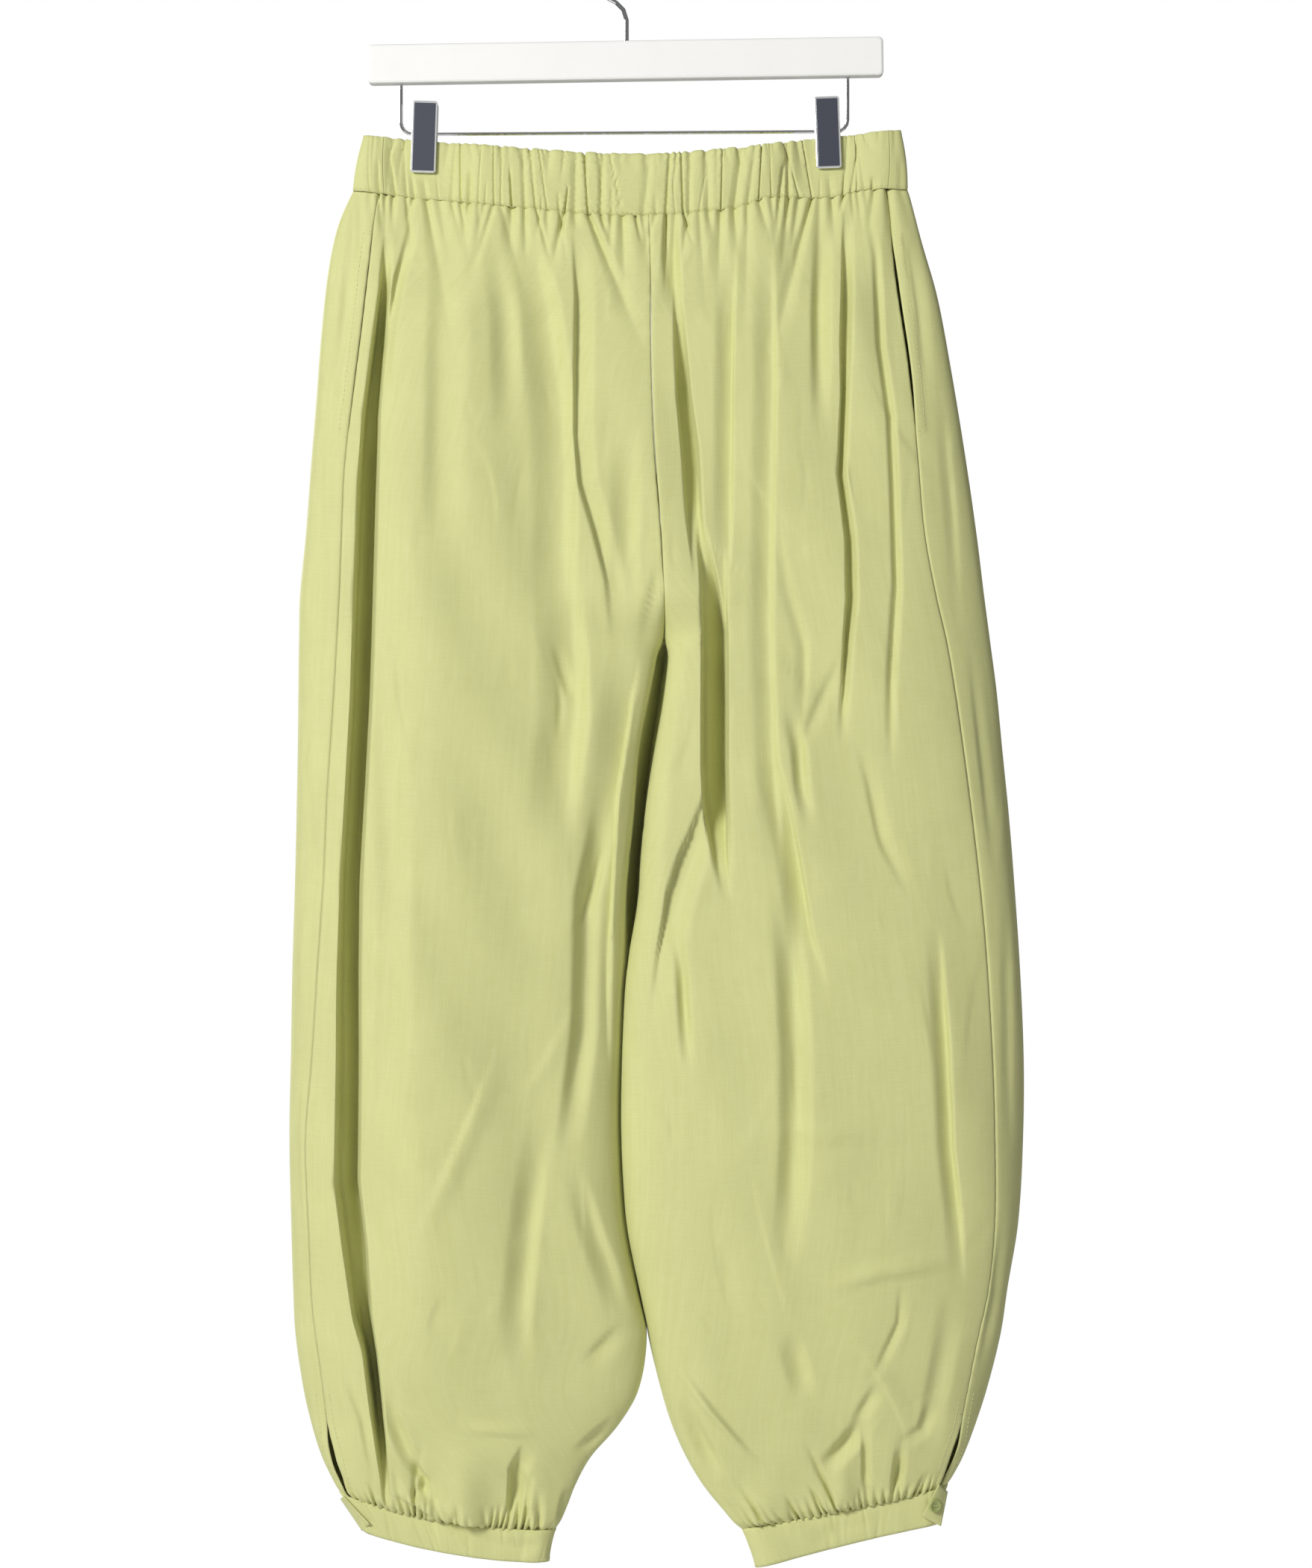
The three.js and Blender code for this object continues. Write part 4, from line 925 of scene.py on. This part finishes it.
def make_waistband(face, material):
    """The gathered casing, folded over its top edge."""
    over = np.linspace(0, 1, BAND_ROWS)
    height = np.clip(over / 0.8, 0, 1)
    tuck = smooth(0.8, 0.9, over)
    inside = np.clip((over - 0.84) / 0.16, 0, 1)
    turns = []
    for h in height:
        left, right = (lerp(foot, top, h) for foot, top in zip(BAND_EDGES_FOOT, BAND_EDGES_TOP))
        c = 2 * (np.array(BAND_SEAMS) - left) / (right - left) - 1
        turns.append(np.arccos(np.clip(power(c, 1 / BAND_POWER), -1, 1)))
    left_turn, right_turn = np.array(turns).T
    if face == "back":
        left_turn = left_turn - 2 * math.pi
    turn = right_turn[:, None] + (left_turn - right_turn)[:, None] * np.linspace(0, 1, BAND_FINE)[None, :]
    turn = np.where(turn < -math.pi, turn + 2 * math.pi, turn)
    turn = np.where(np.abs(turn) < 1e-6, -1e-6, turn)
    at = band_points(turn, height[:, None] + np.zeros_like(turn))
    run = running(step_lengths(at["x"], at["y"]))
    h = height[:, None]
    depth = read(BAND_TOP, 1, at["x"]) - read(WAIST_LINE, 1, at["x"])
    tall = depth * h
    shown = at["my"] < 0
    ends = smooth(0, 4, run) * smooth(0, 4, run[:, -1:] - run) * smooth(0.3, 0.8, np.abs(at["my"]))
    wave = by_side(shown, WAIST_GATHERS, gathers_up, at["x"], tall) * ends
    top_wave = by_side(shown, TOP_GATHERS, gathers_down, at["x"], depth * (1 - h)) * ends * (h > 0)
    near_clip = near_clips(at["x"], 9, 17)
    pinch = pinch_at(at["x"])
    hold = 1 - lerp(0.3, 0.92, smooth(9, 18, tall)) * near_clip
    puff = BAND_PUFF * np.sin(math.pi * np.clip(h * 0.9, 0, 1)) ** 0.8 * (1 - 0.6 * pinch)
    press = (0.75 * wave + 0.6 * top_wave) * hold - puff * (1 - 0.8 * near_clip)
    press = press + BAND_TUCK * tuck[:, None] * (1 - 0.5 * pinch)
    x, y = press_in(at, press)
    rim = BAND_RIM * np.sin(math.pi * np.clip((over - 0.72) / 0.24, 0, 1))
    z = at["z"] + rim[:, None] - BAND_TURN_IN * inside[:, None]
    z = z - 0.3 * (wave + top_wave) * smooth(0.8, 1.0, h)
    z = z - SEAM_DIP * wave * np.exp(-tall / 5)
    gaps = np.full((2, BAND_ROWS), 0.06)
    grid = resample({"x": x, "y": y, "z": z}, step_lengths(x, y), BAND_COLUMNS, gaps)
    grid["down"] = over[:, None] * BAND_CUT
    node = f"waistband_{face}"
    piece = cloth_piece(f"cloth_{node}", grid, CLOTH_THICK, face == "back", material, node)
    return grid


# Cuffs: the leg above, the inner and outer ends x, z of the lower edge, and how far that edge sags.
CUFFS = {
    "left": {"leg": LEFT_LEG, "foot_inner": (-52.5, -1104), "foot_outer": (-180, -1083.0), "sag": 5.0},
    "right": {"leg": RIGHT_LEG, "foot_inner": (88, -1108.5), "foot_outer": (214, -1077.5), "sag": -1.5},
}
# A soft crease along the shown side of each cuff: shares across from, to, share down, depth.
CUFF_CREASES = {"left": (0.02, 0.52, 0.42, 1.5), "right": (0.3, 0.75, 0.6, 0.7)}


def cuff_corners(cuff):
    """The inner and outer ends x, z of a cuff's upper edge."""
    leg = cuff["leg"]
    inner = (float(read(leg["rows"], 2, INNER_END_Z)) + leg["side"] * LEG_GAP / 2, INNER_END_Z + CUFF_LAP)
    outer = (float(read(leg["rows"], 1, leg["end"])), leg["end"] + CUFF_LAP)
    return inner, outer


def cuff_place(cuff, across, drop):
    """Where a share of the way across and down a cuff lies: x, z."""
    inner, outer = cuff_corners(cuff)
    top_x = lerp(inner[0], outer[0], across)
    top_z = lerp(inner[1], outer[1], across)
    foot_x = lerp(cuff["foot_inner"][0], cuff["foot_outer"][0], across)
    foot_z = lerp(cuff["foot_inner"][1], cuff["foot_outer"][1], across)
    hang = 4 * across * (1 - across)
    top_z = top_z - CUFF_SAG[cuff["leg"]["name"]] * hang
    foot_z = foot_z - cuff["sag"] * hang
    return lerp(top_x, foot_x, drop), lerp(top_z, foot_z, drop)


def cuff_path():
    """The band's path from above: share of the way across, and distance in front or behind."""
    path = [(0.975, -0.8 * CUFF_DEPTH)]
    path += [(lerp(0.93, 0.1, i / 10), -CUFF_DEPTH) for i in range(11)]
    for i in range(1, 8):
        turn = math.pi * (0.5 + i / 8)
        path.append((0.1 + 0.1 * math.cos(turn), -CUFF_DEPTH * math.sin(turn)))
    path += [(lerp(0.1, 0.93, i / 10), CUFF_DEPTH) for i in range(11)]
    for i in range(1, 8):
        turn = math.pi * (0.5 - i / 8)
        path.append((0.93 + 0.07 * math.cos(turn), CUFF_DEPTH * math.sin(turn)))
    return np.array(path)


def make_cuff(name, material):
    """The band round an ankle."""
    cuff = CUFFS[name]
    path = cuff_path()
    inner, outer = cuff_corners(cuff)
    width = math.hypot(outer[0] - inner[0], outer[1] - inner[1])
    length = running(np.hypot(np.diff(path[:, 0]) * width, np.diff(path[:, 1])))
    goal = np.linspace(0, length[-1], CUFF_FINE)
    across = np.interp(goal, length, path[:, 0])
    y = np.interp(goal, length, path[:, 1])
    for values in (across, y):
        for _ in range(30):
            values[1:-1] = (values[:-2] + 2 * values[1:-1] + values[2:]) / 4
    dx = np.gradient(across) * width
    dy = np.gradient(y)
    size = np.hypot(dx, dy)
    drop = np.linspace(0, 1, CUFF_ROWS)[:, None]
    seed = {"left": 3, "right": 6}[name]
    bulge = CUFF_BULGE * np.sin(math.pi * drop) ** 0.6
    ripple = CUFF_RIPPLE * np.sin(goal / 5.1 + seed) * np.sin(goal / 13.0 + 2 * drop)
    rng = np.random.RandomState(seed)
    dents = np.zeros((CUFF_ROWS, CUFF_FINE))
    for _ in range(CUFF_DENTS):
        spot = rng.uniform(0, length[-1])
        wide = rng.uniform(1.2, 4.0)
        deep = rng.uniform(0.1, 0.5)
        top = rng.uniform(-0.4, 1.0)
        away = (goal[None, :] - spot - rng.normal(0, 3) * drop) / wide
        dents += deep * np.clip(1 - away**2, 0, 1) ** 2 * np.exp(-(((drop - top) / 0.5) ** 2))
    low, high, middle, deep = CUFF_CREASES[name]
    shown = smooth(low, low + 0.1, across) * (1 - smooth(high - 0.15, high, across)) * (y < 0)
    dents += deep * shown * (1 - smooth(0.02, 0.3, np.abs(drop - middle - 0.1 * np.sin(9 * across))))
    push = bulge + ripple - dents - 0.5
    side = cuff["leg"]["side"]
    x, z = cuff_place(cuff, across[None, :] + np.zeros_like(push), drop)
    x = x - side * (-dy / size)[None, :] * push
    y = y[None, :] + (dx / size)[None, :] * push
    keep = slice(None, None, CUFF_EVERY)
    grid = {"x": x[:, keep], "y": y[:, keep], "z": z[:, keep], "run": goal[keep], "down": drop * CUFF_CUT}
    piece = cloth_piece(f"cloth_cuff_{name}", grid, CUFF_WALL * 0.8, side > 0, material, f"cuff_{name}")
    return grid


# The free ends of the cuffs as they hang: corners x, y, z, round from the top of the folded edge.
TABS = {
    "left": [
        (-193.0, -9.5, -1058.8),
        (-174.8, -13.6, -1077.0),
        (-180.5, -3.0, -1083.4),
        (-195.8, 1.5, -1062.4),
    ],
    "right": [
        (212.6, -13.4, -1049.6),
        (200.6, -15.2, -1071.2),
        (213.8, -13.0, -1078.0),
        (219.0, -5.6, -1056.2),
    ],
}


def make_tab(name, material):
    """A cuff's loose end, a thin pad that stands off the band."""
    a, b, c, d = np.array(TABS[name])
    share = np.linspace(0, 1, TAB_STEPS)
    points = np.zeros((TAB_STEPS, TAB_STEPS, 3))
    for i, s in enumerate(share):
        for j, t in enumerate(share):
            points[i, j] = lerp(lerp(a, d, s), lerp(b, c, s), t)
            points[i, j, 1] -= 0.9 * math.sin(math.pi * t) * math.sin(math.pi * min(s * 1.2, 1))
    wide = float(np.linalg.norm(d - a))
    tall = float(np.linalg.norm(b - a))
    grid = dict(zip("xyz", points.transpose(2, 0, 1)), run=share[:, None] * wide, down=share * tall)
    piece = cloth_piece(f"cloth_tab_{name}", grid, TAB_THICK, name == "right", material)


# Buttons: the middle of the back face x, y, z, then the way it faces.
BUTTONS = {
    "left": ((-182.1, 9.7, -1070.9), (-0.34, 0.92, -0.2)),
    "right": ((209.4, -15.1, -1063.6), (0.42, -0.9, -0.08)),
}
# Profiles of a button and of the thin dark disc of painted shade set over each hole: radius, height.
BUTTON_PROFILE = [
    (0.01, 1.1),
    (2.7, 1.1),
    (3.2, 1.55),
    (4.0, 1.75),
    (4.6, 1.4),
    (4.75, 0.8),
    (4.5, 0.2),
    (3.6, 0.0),
    (0.01, 0.0),
]
HOLE_SHADE_PROFILE = [(0.01, 1.16), (0.42, 1.16), (0.42, 1.05), (0.01, 1.05)]
HOLE_SPREAD = 0.95


def make_button(name, material, dark, sewing):
    """A round four-hole button with a thin dark disc of painted shade over each hole, and the thread that
    crosses each hole.
    """
    place, way = BUTTONS[name]
    out = np.array(way) / np.linalg.norm(way)
    side = np.cross(out, (0, 0, 1))
    side = side / np.linalg.norm(side)
    up = np.cross(side, out)

    def lathe(label, centres, profile, finish):
        verts = []
        faces = []
        for centre in centres:
            for k, (radius, height) in enumerate(profile):
                if k:
                    faces.extend(ring_faces(len(verts) - BUTTON_SIDES, BUTTON_SIDES))
                for t in np.linspace(0, 2 * math.pi, BUTTON_SIDES, endpoint=False):
                    rim = side * radius * math.cos(t) + up * radius * math.sin(t)
                    verts.append(centre + rim + out * height)
        return finish_piece(new_piece(label, verts, faces), finish, "button")

    place = np.array(place)
    disc = lathe(f"disc_{name}", [place], BUTTON_PROFILE, material)
    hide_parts(f"button_{name}")
    spots = [place + side * HOLE_SPREAD * a + up * HOLE_SPREAD * b for a in (-1, 1) for b in (-1, 1)]
    # Each hole is a thin dark olive disc on the button's face: painted shade, not an opening.
    lathe(f"painted_hole_shades_{name}", spots, HOLE_SHADE_PROFILE, dark)
    lines = []
    for a in (-1, 1):
        for shift in (-0.16, 0.16):
            start = place + side * (HOLE_SPREAD * a + shift)
            lines.append([(start + up * HOLE_SPREAD * b + out * 1.15, out) for b in (-1, 1)])
    add_threads(f"thread_button_{name}", lines, sewing, length=1.85, gap=0.02, wide=0.3, high=0.3)


# Faces set in the clips: their size x, y, z, then the centre x, z and the turn of each.
CLIP_FACE_SIZE = (14.4, 0.9, 46.0)
CLIP_FACES = {"left": (-138.0, -132.7, 0.033), "right": (137.1, -129.7, -0.038)}


def make_clip_face(name, material):
    """The dark speckled face of a clip, a thin plate with soft corners inside the bright rim."""
    x, z, turn = CLIP_FACES[name]
    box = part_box(f"clip_{name}_front_jaw")
    front = box[0][1] / MM
    bpy.ops.mesh.primitive_cube_add(size=1, location=(x * MM, (front - 0.2) * MM, z * MM))
    piece = bpy.context.object
    piece.name = f"face_clip_{name}"
    piece.scale = [size * MM for size in CLIP_FACE_SIZE]
    piece.rotation_euler = (0, turn, 0)
    bpy.ops.object.transform_apply(location=False, rotation=False, scale=True)
    soft = piece.modifiers.new("edge", "BEVEL")
    soft.width = 0.3 * MM
    soft.segments = 2
    finish_piece(piece, material, "clip_jaw")


# Materials.
def node_material(name):
    material = bpy.data.materials.new(name)
    material.use_nodes = True
    tree = material.node_tree
    shader = next(n for n in tree.nodes if n.type == "BSDF_PRINCIPLED")
    return material, tree, shader


def feed(node, socket, value):
    """Sets a socket of a shader node, or links another node's output to it."""
    if isinstance(value, bpy.types.NodeSocket):
        node.id_data.links.new(value, node.inputs[socket])
    else:
        node.inputs[socket].default_value = value


def set_values(node, **values):
    """Sets a shader node's own settings, and feeds its sockets under their names with spaces."""
    for key, value in values.items():
        if hasattr(node, key):
            setattr(node, key, value)
        else:
            feed(node, key.replace("_", " "), value)
    return node


def add_node(tree, kind, **values):
    return set_values(tree.nodes.new(kind), **values)


def mix_colours(tree, share, a, b, blend):
    node = add_node(tree, "ShaderNodeMix", data_type="RGBA", blend_type=blend)
    for socket, value in ((0, share), (6, a), (7, b)):
        feed(node, socket, value)
    return node.outputs[2]


def poplin():
    """Fine plain weave with slubs, slightly uneven in tone, with a soft sheen."""
    material, tree, shader = node_material("poplin_cloth")
    cut = add_node(tree, "ShaderNodeUVMap", uv_map="cut").outputs["UV"]

    def stretched(scale_u, scale_v, detail):
        drawn = add_node(tree, "ShaderNodeMapping", Scale=(scale_u, scale_v, 1), Vector=cut).outputs["Vector"]
        return add_node(tree, "ShaderNodeTexNoise", Scale=1.0, Detail=detail, Vector=drawn).outputs["Fac"]

    def added(a, b):
        node = add_node(tree, "ShaderNodeMath", operation="ADD")
        feed(node, 0, a)
        feed(node, 1, b)
        return node.outputs[0]

    warp = stretched(1500, 60, 1)
    weft = stretched(60, 1500, 1)
    slub = stretched(260, 12, 2)
    mottle = stretched(26, 20, 3)
    weave = added(added(warp, weft), slub)
    tone = add_node(tree, "ShaderNodeMapRange", From_Min=1.1, From_Max=1.9, Value=weave).outputs["Result"]
    tint = mix_colours(tree, tone, (0.663, 0.674, 0.284, 1), (0.713, 0.724, 0.334, 1), "MIX")
    bump = add_node(tree, "ShaderNodeBump", Strength=0.1, Distance=0.0003, Height=weave)
    set_values(shader, Roughness=0.72, Sheen_Weight=0.18, Sheen_Roughness=0.4, Specular_IOR_Level=0.32)
    set_values(
        shader,
        Base_Color=mix_colours(tree, 0.12, tint, mottle, "MULTIPLY"),
        Normal=bump.outputs["Normal"],
    )
    return material


def plain_material(name, colour, roughness, metallic, grain_scale, grain_bump, coat=0.0):
    """A hard finish with fine procedural unevenness in its gloss and surface."""
    material, tree, shader = node_material(name)
    place = add_node(tree, "ShaderNodeTexCoord").outputs["Object"]
    grain = add_node(tree, "ShaderNodeTexNoise", Scale=grain_scale, Detail=4, Vector=place).outputs["Fac"]
    gloss = add_node(tree, "ShaderNodeMapRange", To_Min=roughness * 0.85, To_Max=roughness * 1.2, Value=grain)
    bump = add_node(tree, "ShaderNodeBump", Strength=grain_bump, Distance=0.0002, Height=grain)
    set_values(
        shader,
        Base_Color=mix_colours(tree, 0.03, (*colour, 1), grain, "MULTIPLY"),
        Roughness=gloss.outputs["Result"],
        Normal=bump.outputs["Normal"],
        Metallic=metallic,
        Coat_Weight=coat,
    )
    return material


# Stage, light and camera: millimetres to a photo pixel, the photo's height, its middle x, z.
SCALE_MM = 0.51
PHOTO_HEIGHT = 2100
CENTRE = (20.1, -573.8)
LIGHT_AIM = (0, 0, -0.6)
LENS = 85.0
SENSOR = 36.0


def make_camera():
    """A camera square to the shown face that takes in the photo's height."""
    height = PHOTO_HEIGHT * SCALE_MM * MM
    distance = height * LENS / SENSOR
    data = bpy.data.cameras.new("camera")
    data.lens = LENS
    data.sensor_width = SENSOR
    data.clip_start = 0.05
    camera = bpy.data.objects.new("camera", data)
    camera.location = (CENTRE[0] * MM, -distance, CENTRE[1] * MM)
    camera.rotation_euler = (math.radians(90), 0, 0)
    bpy.context.scene.collection.objects.link(camera)
    bpy.context.scene.camera = camera


def area_light(name, place, size, energy):
    """A rectangular lamp turned to the middle of the trousers."""
    data = bpy.data.lights.new(name, "AREA")
    data.shape = "RECTANGLE"
    data.size = size[0]
    data.size_y = size[1]
    data.energy = energy
    light = bpy.data.objects.new(name, data)
    light.location = place
    way = np.array(LIGHT_AIM) - np.array(place)
    way = way / np.linalg.norm(way)
    light.rotation_euler = (math.acos(-way[2]), 0, math.atan2(way[1], way[0]) - math.pi / 2)
    bpy.context.scene.collection.objects.link(light)


def make_stage():
    """A plain floor below, white to the camera all round, and three lamps."""
    bpy.ops.mesh.primitive_circle_add(vertices=96, radius=2.1, fill_type="NGON", location=(0, 0, -1.62))
    floor = bpy.context.object
    floor.name = "floor"
    floor.data.materials.append(plain_material("floor_paint", (0.86, 0.86, 0.85), 0.8, 0.0, 6, 0.05))
    world = bpy.data.worlds.new("studio")
    bpy.context.scene.world = world
    world.use_nodes = True
    tree = world.node_tree
    tree.nodes.clear()
    path = add_node(tree, "ShaderNodeLightPath")
    mix = add_node(tree, "ShaderNodeMixShader", Fac=path.outputs["Is Camera Ray"])
    for socket, strength in ((1, 0.18), (2, 1.0)):
        glow = add_node(tree, "ShaderNodeBackground", Color=(1, 1, 1, 1), Strength=strength)
        feed(mix, socket, glow.outputs[0])
    add_node(tree, "ShaderNodeOutputWorld", Surface=mix.outputs[0])
    bpy.context.scene.view_settings.view_transform = "Standard"
    bpy.context.scene.view_settings.look = "None"
    area_light("key", (-2.0, -2.9, 0.8), (0.9, 0.9), 112)
    area_light("fill", (2.0, -2.6, -0.4), (2.0, 2.4), 7)
    area_light("rear", (-1.9, 2.6, 0.8), (1.0, 1.0), 70)


cloth = poplin()
paint = plain_material("bar_paint", (0.98, 0.972, 0.94), 0.42, 0.0, 60, 0.15, 0.2)
chrome = plain_material("bright_plate", (0.78, 0.79, 0.81), 0.12, 1.0, 300, 0.04)
horn = plain_material("button_resin", (0.40, 0.45, 0.15), 0.32, 0.0, 200, 0.05, 0.15)
thread = plain_material("sewing_thread", (0.76, 0.77, 0.40), 0.6, 0.0, 900, 0.1)
rim = plain_material("clip_plate", (0.86, 0.87, 0.88), 0.25, 0.55, 300, 0.04, 0.5)
slate = plain_material("clip_slate", (0.045, 0.052, 0.075), 0.5, 0.0, 2400, 0.5, 0.2)
# A dark olive that paints the shade inside each button hole.
dark = plain_material("button_hole_painted_shade", (0.16, 0.17, 0.06), 0.7, 0.0, 900, 0.1)

for leg in (LEFT_LEG, RIGHT_LEG):
    lines = []
    for face in ("front", "back"):
        lines += panel_stitches(face, make_panel(leg, face, cloth))
    add_threads(f"stitches_leg_{leg['name']}", lines, thread)
waist_lines = [row_line(make_waistband(face, cloth), BAND_STITCHES) for face in ("front", "back")]
add_threads("stitches_waist", waist_lines, thread)
for name in CUFFS:
    grid = make_cuff(name, cloth)
    add_threads(f"stitches_cuff_{name}", [row_line(grid, row) for row in CUFF_STITCHES], thread)
    make_tab(name, cloth)
    make_button(name, horn, dark, thread)
    make_clip_face(name, slate)

# The solids' finishes, by how their names start; the rest is cloth.
FINISHES = {"hanger_bar": paint, "hanger": chrome, "clip": rim, "button": horn}
for node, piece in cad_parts.items():
    finish = next((FINISHES[start] for start in FINISHES if node.startswith(start)), cloth)
    piece.data.materials.clear()
    piece.data.materials.append(finish)

make_stage()
make_camera()
